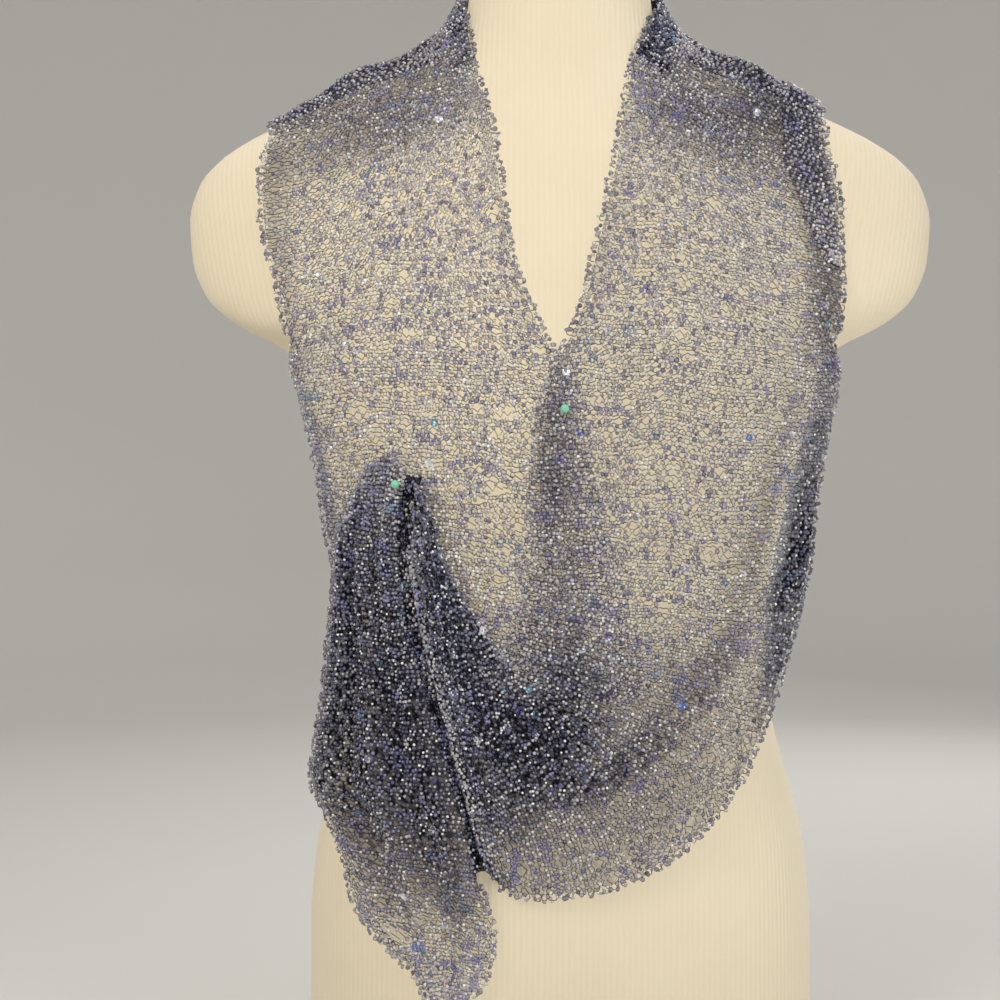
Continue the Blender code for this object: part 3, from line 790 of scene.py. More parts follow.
def strewn(template, centres, z_axes, x_axes, radii, tints, squash=1.0):
    """Copies of a template joined in one mesh: each has its centre, its two axes, its radius and its tint."""
    corners, faces = template
    z_axes = unit(z_axes)
    y_axes = unit(np.cross(z_axes, x_axes))
    frame_axes = np.stack([np.cross(y_axes, z_axes), y_axes, z_axes * squash], axis=1)
    placed = centres[:, None, :] + radii[:, None, None] * np.einsum("vk,nkd->nvd", corners, frame_axes)
    numbers = np.arange(len(centres))[:, None, None] * len(corners) + faces[None]
    return placed.reshape(-1, 3), numbers.reshape(-1, 3), np.repeat(tints, len(corners), axis=0)


def joined(groups):
    """Several groups of points, faces and colours as one."""
    starts = np.cumsum([0] + [len(group[0]) for group in groups[:-1]])
    faces = [group[1] + start for group, start in zip(groups, starts)]
    others = [np.concatenate([group[k] for group in groups]) for k in range(2, len(groups[0]))]
    return [np.concatenate([group[0] for group in groups]), np.concatenate(faces)] + others


def tinted_piece(name, groups, finish):
    """One mesh from several strewn groups, with each copy's colour kept as the attribute tint."""
    points, faces, colors = joined(groups)
    piece = solid_piece(name, points, faces, finish)
    layer = piece.data.attributes.new("tint", "FLOAT_COLOR", "POINT")
    layer.data.foreach_set("color", colors.astype(np.float32).ravel())
    return piece


def speckled_finish(name, scale, first, second, numbers):
    """One even material whose colour varies a little from place to place."""
    finish = Finish(name, numbers)
    finish.paint(finish.noise(finish.place(), scale, detail=1.0), display(*first), display(*second))
    return finish


# Thin dark metallic thread: nearly black with a soft glint.
THREAD_DARK = (14, 13, 18)
THREAD_LIGHT = (50, 46, 56)
thread_numbers = {"Roughness": 0.5, "Specular IOR Level": 0.25}
dark_thread = speckled_finish("dark_thread", 420.0, THREAD_DARK, THREAD_LIGHT, thread_numbers)

# Clear, lilac and silver-lined glass: each bead is light at its middle and painted dark round its rim,
# painted shade for how glass looks at its edge.
BEAD_RIM_SHADE = (30, 28, 42)
bead_glass = Finish("bead_glass", {"Roughness": 0.13, "IOR": 1.6})
facing = bead_glass.add("ShaderNodeLayerWeight", {"Blend": 0.5})["Facing"]
rim_shade = bead_glass.ranged(facing, source=(0.52, 0.86), result=(0.0, 0.97))
bead_glass.paint(rim_shade, bead_glass.kept("tint")["Color"], display(*BEAD_RIM_SHADE))

# Thin pearly film: the colour turns as a sequin tilts and turns lighter there, a painted sheen, and some of
# what is behind shows through.
sequin_film = Finish("sequin_film", {"Roughness": 0.16, "Metallic": 0.35})
tint = sequin_film.kept("tint")
tilt = sequin_film.add("ShaderNodeLayerWeight", {"Blend": 0.4})["Facing"]
shift = {"Color": tint["Color"], "Hue": 0.56, "Value": 1.3}
sequin_film.paint(tilt, tint["Color"], sequin_film.add("ShaderNodeHueSaturation", shift)["Color"])
sequin_film.join(tint["Alpha"], "Alpha")

# What shows between the topmost threads: nothing behind one open layer, deep blue where a second layer lies
# there in part, near black where the net lies in a heap. It is a dark sheet of painted shade: the near black
# stands for the shade among heaped layers, and the blue is partly the second layer's own colour and partly
# shade.
BEHIND_LAYER = (70, 72, 112)
HEAP_SHADE = (12, 12, 20)
knit_ground_and_shade = Finish("knit_ground_and_shade", {"Roughness": 0.7, "Specular IOR Level": 0.08})
patch = knit_ground_and_shade.noise(knit_ground_and_shade.unrolled("knit"), scale=240.0, detail=1.0, noise_dimensions="2D")
uneven = knit_ground_and_shade.ranged(patch, source=(0.35, 0.65), result=(0.7, 1.3))
cover = knit_ground_and_shade.reckoned("MULTIPLY", knit_ground_and_shade.kept("layers_and_shade")["Fac"], uneven, use_clamp=True)
knit_ground_and_shade.join(cover, "Alpha")
knit_ground_and_shade.paint(cover, display(*BEHIND_LAYER), display(*HEAP_SHADE))

# The beads' and sequins' colours: share of all, colour as on a screen, size and how solid each looks.
TINT_COLUMNS = ("share", "red", "green", "blue", "size", "solid")
# The pure white rows are painted glints: beads coloured white where light would glance off the glass.
OPEN_TINTS = (
    (0.34, 226, 219, 206, 1.0, 1),
    (0.24, 200, 194, 200, 1.0, 1),
    (0.18, 172, 166, 186, 1.0, 1),
    (0.10, 255, 255, 255, 0.8, 1),
    (0.08, 134, 130, 152, 0.95, 1),
    (0.06, 186, 172, 162, 1.0, 1),
)
# Near a heap the beads take darker colours: partly the layers' own colour, partly painted shade.
HEAPED_AND_SHADED_TINTS = (
    (0.25, 82, 84, 104, 0.98, 1),
    (0.18, 114, 115, 136, 0.95, 1),
    (0.21, 40, 42, 62, 1.0, 1),
    (0.11, 255, 255, 255, 0.66, 1),
    (0.18, 188, 187, 193, 0.85, 1),
    (0.07, 66, 72, 114, 0.98, 1),
)
CLUMP_TINTS = (
    (0.56, 138, 134, 178, 1.0, 1),
    (0.32, 112, 114, 166, 1.0, 1),
    (0.12, 112, 138, 168, 1.0, 1),
)
SEQUIN_TINTS = (
    (0.5, 104, 100, 160, 1.0, 0.6),
    (0.2, 84, 122, 150, 1.0, 0.65),
    (0.15, 166, 160, 198, 1.0, 0.5),
    (0.15, 224, 226, 236, 1.0, 0.75),
)
TINT_SPREAD = (0.8, 1.2)
BEAD_RADIUS = 1.56
BEAD_SPREAD = (0.82, 1.18)
BEAD_FLATNESS = 0.8
# Towards a heap the colours turn quickly at first, and in a groove, beyond 1, they are shaded.
HEAP_TURN = 0.7
GROOVE_SHADE = 0.85


def drawn_tints(table, count, rng):
    """Colours and sizes drawn at random from a table of shares, each a little lighter or darker."""
    shares = column(table, TINT_COLUMNS, "share")
    rows = rng.choice(len(table), count, p=shares / shares.sum())
    colors = np.array([display(*row[1:4])[:3] + (row[5],) for row in table])[rows]
    colors[:, :3] *= rng.uniform(*TINT_SPREAD, (count, 1))
    return colors, column(table, TINT_COLUMNS, "size")[rows]


def bead_tints(layers_and_shade, rng):
    """A colour and a radius for each bead, from how densely the net lies at its place and how much painted
    shade lies there.
    """
    colors, sizes = drawn_tints(OPEN_TINTS, len(layers_and_shade), rng)
    deep_colors, deep_sizes = drawn_tints(HEAPED_AND_SHADED_TINTS, len(layers_and_shade), rng)
    deep = np.minimum(layers_and_shade, 1) ** HEAP_TURN
    colors += (deep_colors - colors) * deep[:, None]
    colors[:, :3] *= 1 - GROOVE_SHADE * np.clip(layers_and_shade - 1, 0, 1)[:, None]
    sizes += (deep_sizes - sizes) * deep
    return colors, BEAD_RADIUS * sizes * rng.uniform(*BEAD_SPREAD, len(layers_and_shade))


# Streaks where the beads lie closer: how far apart and how long they are, and how they bend and are staggered
# over what length, in millimetres and radians. Every stretch's seed shifts them.
STREAK_GAP = 2.7
STREAK_BEND = (1.8, 17)
STREAK_LENGTH = 9
STREAK_STAGGER = (1.5, 7.5)
STREAK_SHIFT = 1.3


def streaks(down_mm, over_mm, seed):
    """Soft streaks across the cloth, from -1 where the net lies open to 1 where it lies close."""
    bend = STREAK_BEND[0] * np.sin(over_mm / STREAK_BEND[1] + seed)
    stagger = STREAK_STAGGER[0] * np.sin(down_mm / STREAK_STAGGER[1])
    first = np.sin(down_mm / STREAK_GAP + bend + seed)
    second = np.sin(over_mm / STREAK_LENGTH + STREAK_SHIFT * seed + stagger)
    return first * second


STITCH_WIDTH = 3.3
# The share of places that hold a bead, and what a heap and a streak add to it.
BEADED_SHARE = 0.84
HEAP_EXTRA = 0.22
STREAK_EXTRA = 0.44
MOST_BEADED = 0.98
# How far a bead strays, in rows and in bends, how far off the cloth it sits in millimetres, and how it tilts.
BEAD_STRAY = (0.15, 0.36)
BEAD_LIFT = 0.3
BEAD_LIFT_SPREAD = (-0.25, 0.6)
BEAD_TILT = 0.3
# Clumps of beads of one colour: how many of the beads start one, its size, its shape in rows and stitches,
# how full it is and how much of its colour they take.
CLUMP_SHARE = 0.02
CLUMP_REACH = (1.0, 2.3)
CLUMP_SHAPE = (0.8, 1.4)
CLUMP_FILL = 0.75
CLUMP_STRENGTH = 0.7


def net_beads(net, whole, room_down, stretch, layers_and_shade):
    """The beads that link each row to the next, lighter and fewer where the net lies open, darker with
    painted shade where it heaps.
    """
    surface, rng = net["surface"], net["rng"]
    bends = 2 * net["stitches"]
    row, stitch = np.meshgrid(np.arange(-1, net["rows"] - 1), np.arange(net["stitches"]), indexing="ij")
    bend = 2 * stitch + row % 2
    above = np.maximum(row, 0)
    room = room_down[above, bend] * stretch[above, np.clip(bend, 0, bends - 1)] * 2 / STITCH_ROOM
    depth = between(layers_and_shade, *net["place"](row + 1.0, bend / bends))
    lay = streaks(row * net["row_gap"], stitch * STITCH_WIDTH, net["seed"]) * np.maximum(1 - depth, 0)
    chance = np.clip(room * (BEADED_SHARE + HEAP_EXTRA * depth + STREAK_EXTRA * lay), 0, MOST_BEADED)
    kept = whole[above, bend] & (rng.random(row.shape) < chance)
    row, stitch, bend, depth = row[kept], stitch[kept], bend[kept], depth[kept]
    count = len(row)
    at_row = row + 1.0 + rng.normal(0, BEAD_STRAY[0], count)
    down, over = net["place"](at_row, (bend + rng.normal(0, BEAD_STRAY[1], count)) / bends)
    normals = unit(between(surface["normals"], down, over))
    colors, radii = bead_tints(depth, rng)
    for which in rng.integers(0, count, int(count * CLUMP_SHARE)):
        reach = rng.uniform(*CLUMP_REACH)
        far_down = (row - row[which]) / (CLUMP_SHAPE[0] * reach)
        far_over = (stitch - stitch[which]) / (CLUMP_SHAPE[1] * reach)
        near = (far_down**2 + far_over**2 < 1) & (rng.random(count) < CLUMP_FILL)
        colors[near] += (drawn_tints(CLUMP_TINTS, 1, rng)[0] - colors[near]) * CLUMP_STRENGTH
    lift = BEAD_LIFT + rng.uniform(*BEAD_LIFT_SPREAD, count)
    centres = between(surface["points"], down, over) + normals * lift[:, None]
    poles = normals + rng.normal(0, BEAD_TILT, normals.shape)
    turned = rng.normal(0, 1, normals.shape)
    return strewn(glass_bead(), centres, poles, turned, radii, colors, BEAD_FLATNESS)


# Every edge loop is a small arch of thread on a short stem, with up to four beads on it. Lengths are in
# millimetres, and each loop is a little larger or smaller.
LOOP_PITCH = 5.6
LOOP_JITTER = 0.25
LOOP_SIZES = (0.7, 1.25)
LOOP_STEM = 1.4
LOOP_LIFT = 0.4
LOOP_HALF_WIDTH = 1.8
LOOP_HEIGHT = 1.9
LOOP_BENDS = 8
LOOP_ENDS = (-0.15 * math.pi, 1.15 * math.pi)
LOOP_BEAD_TURNS = (8, 62, 118, 172)
LOOP_BEADED_SHARE = 0.86
LOOP_BEAD_OUTSET = 0.1
LOOP_BEAD_STRAY = 0.35
LOOP_BEAD_TILT = 0.5
# The loops' beads are coloured as on a net at least this dense, so they carry at least this much painted
# shade.
LOOP_LEAST_HEAPED = 0.2
# How far in from the edge, as a share of the width, the way out of the cloth is measured.
EDGE_MEASURE = 0.03


def edge_loops(net, edge, first, last, layers_and_shade):
    """The loops along one edge, between two shares of its length: their thread and their beads."""
    surface, rng = net["surface"], net["rng"]
    shares = np.linspace(0, 1, len(surface["points"]))
    run = length_of(np.diff(surface["points"][:, 0 if edge == 0 else -1], axis=0))
    run = np.concatenate([[0], np.cumsum(run)])
    count = int(run[-1] / LOOP_PITCH)
    where = (np.arange(count) + 0.5 + rng.uniform(-LOOP_JITTER, LOOP_JITTER, count)) / count
    share = np.interp(where * run[-1], run, shares)
    share = share[(share >= first) & (share <= last)]
    on_edge = np.full(len(share), float(edge))
    base = between(surface["points"], share, on_edge)
    normals = unit(between(surface["normals"], share, on_edge))
    out = unit(base - between(surface["points"], share, np.abs(on_edge - EDGE_MEASURE)))
    way = unit(np.cross(out, normals))
    size = rng.uniform(*LOOP_SIZES, len(share))[:, None]

    def on_loop(angle, outset):
        """Places on every loop at an angle from its right foot."""
        sideways = way * (LOOP_HALF_WIDTH + outset) * math.cos(angle)
        outward = out * (LOOP_STEM + (LOOP_HEIGHT + outset) * math.sin(angle))
        return base + size * (sideways + outward) + normals * LOOP_LIFT

    bends = np.stack([on_loop(angle, 0.0) for angle in np.linspace(*LOOP_ENDS, LOOP_BENDS)], axis=1)
    whole = np.ones((len(share), LOOP_BENDS - 1), bool)
    thread = thread_tubes(bends, np.repeat(normals[:, None], LOOP_BENDS, axis=1), whole)
    depth = between(layers_and_shade, share, on_edge) * (1 - LOOP_LEAST_HEAPED) + LOOP_LEAST_HEAPED
    beads = []
    for angle in np.radians(LOOP_BEAD_TURNS):
        held = rng.random(len(share)) < LOOP_BEADED_SHARE
        centres = on_loop(angle, LOOP_BEAD_OUTSET) + rng.normal(0, LOOP_BEAD_STRAY, base.shape)
        colors, radii = bead_tints(depth, rng)
        poles = normals + rng.normal(0, LOOP_BEAD_TILT, normals.shape)
        copies = (centres[held], poles[held], way[held], radii[held], colors[held])
        beads.append(strewn(glass_bead(), *copies, BEAD_FLATNESS))
    return thread, beads


SEQUIN_RADII = (2.2, 2.9)
SEQUIN_SHARE = 0.012
# Between which shares of the length and of the width sequins are strewn.
SEQUIN_DOWN = (0.01, 0.99)
SEQUIN_OVER = (0.03, 0.97)
SEQUIN_TILT = 0.22
# Strewn sequins lie among the beads, and those that catch the light lie on them and are nearly solid; the
# white ones are painted glints.
SEQUIN_LIFT = 0.1
SEEN_LIFT = 1.3
SEEN_SOLID = 0.95


def cups(net, bead_count, seen):
    """The sequins: most strewn at random, and those that catch the light where they are seen to."""
    surface, rng = net["surface"], net["rng"]
    count = int(bead_count * SEQUIN_SHARE)
    down, over = rng.uniform(*SEQUIN_DOWN, count), rng.uniform(*SEQUIN_OVER, count)
    colors, _ = drawn_tints(SEQUIN_TINTS, count, rng)
    start, end = surface["span"]
    down = np.concatenate([down, [(row - start) / (end - start) for row, *_ in seen]])
    over = np.concatenate([over, [across for _, across, *_ in seen]])
    bright = [display(*color)[:3] + (SEEN_SOLID,) for *_, color in seen]
    colors = np.concatenate([colors, np.array(bright).reshape(-1, 4)])
    centres = between(surface["points"], down, over)
    normals = unit(between(surface["normals"], down, over))
    tilt = normals + rng.normal(0, SEQUIN_TILT, normals.shape)
    lift = np.concatenate([np.full(count, SEQUIN_LIFT), np.full(len(seen), SEEN_LIFT)])[:, None]
    radii = rng.uniform(*SEQUIN_RADII, len(down))
    side = np.cross(normals, rng.normal(0, 1, normals.shape))
    return strewn(cup_sequin(), centres + normals * lift, tilt, side, radii, colors)


BEHIND_THREAD = 0.45


def ground_sheet(name, surface, layers_and_shade):
    """The cloth's own sheet, just behind its thread, on every second point of the fine grid; it carries the
    painted shade of heaped layers.
    """
    points = surface["points"] - surface["normals"] * BEHIND_THREAD
    points = points[::2, ::2]
    high, wide = points.shape[:2]
    i, j = np.meshgrid(np.arange(high - 1), np.arange(wide - 1), indexing="ij")
    first = (i * wide + j).ravel()
    quads = np.stack([first, first + 1, first + wide + 1, first + wide], axis=-1)
    sheet = solid_piece(name, points.reshape(-1, 3), quads, knit_ground_and_shade)
    attribute = sheet.data.attributes.new("layers_and_shade", "FLOAT", "POINT")
    attribute.data.foreach_set("value", layers_and_shade[::2, ::2].astype(np.float32).ravel())
    across = surface["across"][::2, ::2].ravel() * surface["width"]
    along = surface["along"][::2, ::2].ravel() * surface["row_length"]
    flat = np.stack([across, along], axis=-1)[quads] * MM
    layer = sheet.data.uv_layers.new(name="knit")
    layer.data.foreach_set("uv", flat.astype(np.float32).ravel())
    return sheet


# Where an edge has loops: the outer edge is 0 and the inner 1, with two shares of its length.
BOTH_EDGES = ((0, 0.0, 1.0), (1, 0.0, 1.0))
# How much of what is behind even the closest heap hides.
MOST_COVER = 0.96


def knit_stretch(
    name, surface, layers_and_shade, seed, stitches=STITCHES, row_gap=ROW_GAP, loose=(), edges=BOTH_EDGES, seen=()
):
    """All that one stretch of the knitting is made of: its ground, thread, beads, sequins and loops."""
    net = stitch_net(surface, stitches, row_gap, loose, seed)
    corners, faces, whole, room_down, stretch = net_thread(net)
    pieces = {"thread": solid_piece(name + "_thread", corners, faces, dark_thread)}
    beads = [net_beads(net, whole, room_down, stretch, layers_and_shade)]
    bead_count = len(beads[0][1]) // len(glass_bead()[1])
    loops = []
    for edge, first, last in edges:
        thread, loop_beads = edge_loops(net, edge, first, last, layers_and_shade)
        loops.append(thread)
        beads += loop_beads
    if loops:
        pieces["loops"] = solid_piece(name + "_edge_loops", *joined(loops), dark_thread)
    pieces["beads"] = tinted_piece(name + "_beads", beads, bead_glass)
    pieces["sequins"] = tinted_piece(name + "_sequins", [cups(net, bead_count, seen)], sequin_film)
    pieces["ground"] = ground_sheet(name + "_ground", surface, layers_and_shade * MOST_COVER)
    for part, piece in pieces.items():
        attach(piece, BODY)
        # Light passes through glass and fine thread, so only the cloth as a whole casts a shadow.
        if part != "ground":
            piece.visible_shadow = False
            piece.visible_diffuse = False
    return pieces


def cloth_sheet(node):
    """Says what one stretch replaces."""
    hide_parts(node)


# A stretch's sequins that catch the light, its loose spots and its creases are each given: a row or a share
# of the length, a share of the width, and then the colour, or the radius and pull in millimetres.
# The white cup is a painted glint; the blue and teal cups are the sequins' own colours.
WHITE_GLINT_CUP = (236, 238, 246)
BLUE_CUP = (96, 120, 186)
TEAL_CUP = (96, 158, 176)
PLAIN = {"arch": 0.0, "gathers": 0, "extra": 0.0, "wall": CLOTH_WALL, "creases": ()}
LEFT_CREASES = (
    (8.6, 0.15, 4.6, 0.35, 9, 1.2),
    (9.4, 0.55, 6.2, 0.75, 8, 1.0),
    (5.5, 0.1, 2.5, 0.2, 10, 1.4),
)
# How densely the net lies all over a stretch, and the soft strips where it lies closer or where shade falls:
# both are painted as darker beads and a darker ground, partly the layers and partly painted shade.
LEFT_BASE = 0.02
LEFT_DENSE_OR_SHADED = (
    (10.0, 0.0, 10.0, 1.0, 42, 0.5),
    (9.6, 0.0, 5.5, 0.0, 8, 0.3),
    (5.2, 0.0, 2.0, 0.0, 11, 0.4),
    (9.5, 1.0, 5.5, 1.0, 6, 0.25),
)
LEFT_LOOSE = (
    (0.28, 0.7, 34, 12),
    (0.42, 0.8, 26, 8),
    (0.12, 0.72, 24, 8),
)
LEFT_SEEN = (
    (9.2, 0.7, WHITE_GLINT_CUP),
    (3.95, 0.42, WHITE_GLINT_CUP),
    (4.6, 0.47, TEAL_CUP),
    (4.5, 0.99, BLUE_CUP),
)
left_end = len(LEFT_FRONT) - 1
left_surface = cloth_surface(route, (0, left_end), (0.0, 1.0), PLAIN | {"creases": LEFT_CREASES})
left_layers_and_shade = layers_and_shade_map(left_surface, LEFT_BASE, LEFT_DENSE_OR_SHADED)
left_front = knit_stretch("left_front", left_surface, left_layers_and_shade, 11, loose=LEFT_LOOSE, seen=LEFT_SEEN)
cloth_sheet("scarf_left_front")

# Round the neck: the same band goes on over both shoulders and stands up softly against the neck behind.
# Its stitches are pulled wider there.
NECK_STITCHES = 44
NECK_ROW_GAP = 3.5
NECK_CREASES = (
    (11.0, 0.25, 13.0, 0.45, 12, 2.0),
    (13.5, 0.6, 16.5, 0.55, 10, 1.8),
    (17.0, 0.45, 19.2, 0.3, 12, 2.0),
)
NECK_BASE = 0.47
NECK_DENSE_OR_SHADED = (
    (9.8, 0.9, 12.0, 0.9, 16, 0.35),
    (16.6, 0.88, 20.4, 0.88, 26, 0.75),
    (18.6, 0.2, 20.2, 0.3, 22, 0.2),
)
right_start = len(LEFT_FRONT) + len(ROUND_NECK)
neck_surface = cloth_surface(route, (left_end, right_start), (0.0, 1.0), PLAIN | {"creases": NECK_CREASES})
neck_layers_and_shade = layers_and_shade_map(neck_surface, NECK_BASE, NECK_DENSE_OR_SHADED)
neck_back = knit_stretch("neck_back", neck_surface, neck_layers_and_shade, 23, NECK_STITCHES, NECK_ROW_GAP)
cloth_sheet("scarf_neck_back")

# Right front: comes down from the other shoulder and crosses over the left front below the neckline pin.
# Both layers show as one dark wedge from that pin down.
RIGHT_CREASES = (
    (20.5, 0.35, 24.5, 0.6, 9, 1.1),
    (22.0, 0.15, 26.5, 0.3, 10, 1.3),
)
RIGHT_BASE = 0.1
RIGHT_DENSE_OR_SHADED = (
    (20.0, 0.1, 20.0, 0.95, 42, 0.5),
    (20.6, 0.03, 25.5, 0.03, 17, 0.5),
    (21.0, 1.0, 25.0, 1.0, 6, 0.25),
    (25.1, 0.98, 27.4, 0.93, 11, 0.24),
    (26.2, 0.95, 29.4, 0.86, 20, 0.26),
    (25.8, 0.03, 30.0, 0.05, 16, 0.75),
    (27.6, 0.04, 29.4, 0.16, 9, 0.4),
)
RIGHT_LOOSE = (
    (0.75, 0.55, 26, 6),
)
RIGHT_SEEN = (
    (23.5, 0.07, TEAL_CUP),
    (25.1, 0.96, WHITE_GLINT_CUP),
    (26.0, 0.3, BLUE_CUP),
)
swag_start = right_start + len(RIGHT_FRONT) - 1
right_size = PLAIN | {"creases": RIGHT_CREASES}
right_surface = cloth_surface(route, (right_start, swag_start), (0.0, 1.0), right_size)
right_layers_and_shade = layers_and_shade_map(right_surface, RIGHT_BASE, RIGHT_DENSE_OR_SHADED)
right_front = knit_stretch("right_front", right_surface, right_layers_and_shade, 37, loose=RIGHT_LOOSE, seen=RIGHT_SEEN)
cloth_sheet("scarf_right_front")

# Doubled band at the right shoulder: the outer edge is turned back over itself there for a hand's width.
FOLD_ROWS = (18.2, 22.4)
FOLD_ACROSS = (0.015, 0.17)
FOLD_LIFT = 3.3
FOLD_STITCHES = 9
FOLD_NARROWING = ((20.6, 22.4), (1.0, 0.35))
# The fold's darker strip is partly its doubled layers and partly painted shade.
FOLD_BASE = 0.06
FOLD_DENSE_OR_SHADED = (
    (17.8, 0.1, 21.6, 0.1, 20, 0.5),
)
fold_surface = cloth_surface(route, FOLD_ROWS, FOLD_ACROSS, PLAIN | {"extra": FOLD_LIFT}, FOLD_NARROWING)
fold_layers_and_shade = layers_and_shade_map(fold_surface, FOLD_BASE, FOLD_DENSE_OR_SHADED)
shoulder_fold = knit_stretch("shoulder_fold", fold_surface, fold_layers_and_shade, 41, FOLD_STITCHES, edges=())
cloth_sheet("scarf_shoulder_fold")

# Swag: the band sweeps across the waist, hangs in a rounded lobe and is drawn up in folds to the second pin.
GATHERED = PLAIN | {"gathers": 4, "wall": GATHERED_WALL}
SWAG_CREASES = (
    (30.5, 0.55, 35.0, 0.5, 7, 2.2),
    (31.5, 0.8, 37.5, 0.72, 6, 2.6),
    (33.0, 0.12, 36.5, 0.1, 7, 1.6),
    (36.0, 0.62, 39.6, 0.6, 5, 2.4),
    (35.5, 0.86, 39.6, 0.85, 4, 2.2),
)
# Between these rows the open net of the right front goes over into the doubled net of the swag.
SWAG_BASE_ROWS = (29.0, 31.5)
SWAG_BASE = (0.1, 0.35)
SWAG_DENSE_OR_SHADED = (
    (28.8, 0.88, 31.9, 0.76, 22, 0.3),
    (28.6, 0.05, 30.6, 0.0, 13, 0.6),
    (29.0, 0.14, 30.6, 0.27, 13, 0.3),
    (30.4, 0.27, 32.2, 0.36, 14, 0.26),
    (32.0, 0.36, 34.6, 0.36, 13, 0.42),
    (31.6, 0.68, 34.6, 0.5, 28, 0.55),
    (33.4, 0.9, 39.8, 0.88, 22, 0.7),
    (34.0, 0.62, 39.8, 0.6, 34, 0.7),
    (35.2, 0.3, 39.8, 0.3, 26, 0.7),
    (35.6, 0.02, 40.0, 0.0, 8, 0.7),
)
SWAG_SEEN = (
    (32.9, 0.78, TEAL_CUP),
    (34.0, 0.96, WHITE_GLINT_CUP),
    (31.0, 0.3, BLUE_CUP),
)
SWAG_EDGES = ((0, 0.0, 0.62), (1, 0.0, 1.0))
swag_end = swag_start + len(SWAG)
swag_surface = cloth_surface(route, (swag_start, swag_end), (0.0, 1.0), GATHERED | {"creases": SWAG_CREASES})
swag_base = np.interp(swag_surface["along"], SWAG_BASE_ROWS, SWAG_BASE)
swag_layers_and_shade = layers_and_shade_map(swag_surface, swag_base, SWAG_DENSE_OR_SHADED)
swag = knit_stretch("swag", swag_surface, swag_layers_and_shade, 53, edges=SWAG_EDGES, seen=SWAG_SEEN)
cloth_sheet("scarf_swag")

# Tail: the end of the band hangs from the second pin in close folds, one on another, and opens to a single
# layer at its pointed tip.
TAIL = (
    (-127, 411, -99, 415, 3.4, 3.4, 1.2, 0.5, 0),
    (-137, 392, -104, 387, 3.4, 3.4, 2.0, 0.5, 0),
    (-146, 362, -104, 357, 3.4, 3.4, 3.3, 0.5, 0),
    (-148, 330, -101, 325, 3.4, 3.4, 3.4, 0.5, 0),
    (-152, 290, -91, 290, 3.4, 3.4, 3.6, 0.5, 0),
    (-157, 250, -81, 254, 3.4, 3.4, 3.8, 0.5, 0),
    (-163, 213, -69, 215, 3.4, 3.4, 3.8, 0.5, 0),
    (-153, 192, -60, 184, 3.4, 3.4, 3.6, 0.5, 0),
    (-141, 166, -54, 149, 3.4, 3.4, 3.2, 0.5, 0),
    (-132, 133, -46, 123, 3.4, 3.4, 2.6, 0.5, 0),
    (-113, 110, -48, 105, 3.4, 3.4, 1.8, 0.5, 0),
    (-92, 92, -54, 89, 3.4, 3.4, 1.0, 0.5, 0),
    (-86, 75, -65, 76, 3.4, 3.4, 0.4, 0.5, 0),
)
HANGING = PLAIN | {"arch": 9.0, "gathers": 3, "wall": GATHERED_WALL}
TAIL_STITCHES = 30
TAIL_CREASES = (
    (1.0, 0.2, 5.0, 0.25, 5, 1.8),
    (2.5, 0.7, 8.0, 0.62, 6, 2.0),
    (5.5, 0.1, 10.0, 0.3, 7, 1.6),
    (7.5, 0.85, 11.0, 0.7, 5, 1.4),
)
# Between these rows the close folds open to the tip's single layer.
TAIL_BASE_ROWS = (7.5, 9.0)
TAIL_BASE = (0.27, 0.15)
TAIL_DENSE_OR_SHADED = (
    (0.0, 0.35, 7.8, 0.3, 36, 0.7),
    (1.0, 0.8, 8.2, 0.75, 24, 0.7),
    (0.6, 1.0, 8.0, 1.0, 5, 0.9),
    (8.0, 0.8, 10.0, 0.7, 12, 0.15),
)
TAIL_SEEN = (
    (8.5, 0.42, WHITE_GLINT_CUP),
    (9.9, 0.3, BLUE_CUP),
    (10.0, 0.36, TEAL_CUP),
)
TAIL_EDGES = ((0, 0.0, 1.0), (1, 0.66, 1.0))
tail_rows = front_rows(TAIL, True)
tail_surface = cloth_surface(tail_rows, (0, len(TAIL) - 1), (0.0, 1.0), HANGING | {"creases": TAIL_CREASES})
tail_base = np.interp(tail_surface["along"], TAIL_BASE_ROWS, TAIL_BASE)
tail_layers_and_shade = layers_and_shade_map(tail_surface, tail_base, TAIL_DENSE_OR_SHADED)
tail = knit_stretch("tail", tail_surface, tail_layers_and_shade, 67, TAIL_STITCHES, edges=TAIL_EDGES, seen=TAIL_SEEN)

# Between the tail and the swag the band turns under itself in one deep pleat, where it lies in the dark: its
# beads and ground are painted dark as shade.
# It is a strip of the same net from edge to edge, between two heights.
PLEAT_HEIGHTS = (160.0, 411.0)
PLEAT_STEPS = 61
PLEAT_DEPTH = 4.5
PLEAT_TUCK = 0.35
PLEAT_ACROSS = 9
PLEAT_STITCHES = 7
# From this row on the swag's outer edge goes up beside the tail.
SWAG_RISES = 35.5


def edge_at(points, heights):
    """Places on an edge of the cloth at the heights asked for."""
    order = np.argsort(points[:, 2])
    return np.stack([np.interp(heights, points[order, 2], points[order, k]) for k in range(3)], axis=-1)


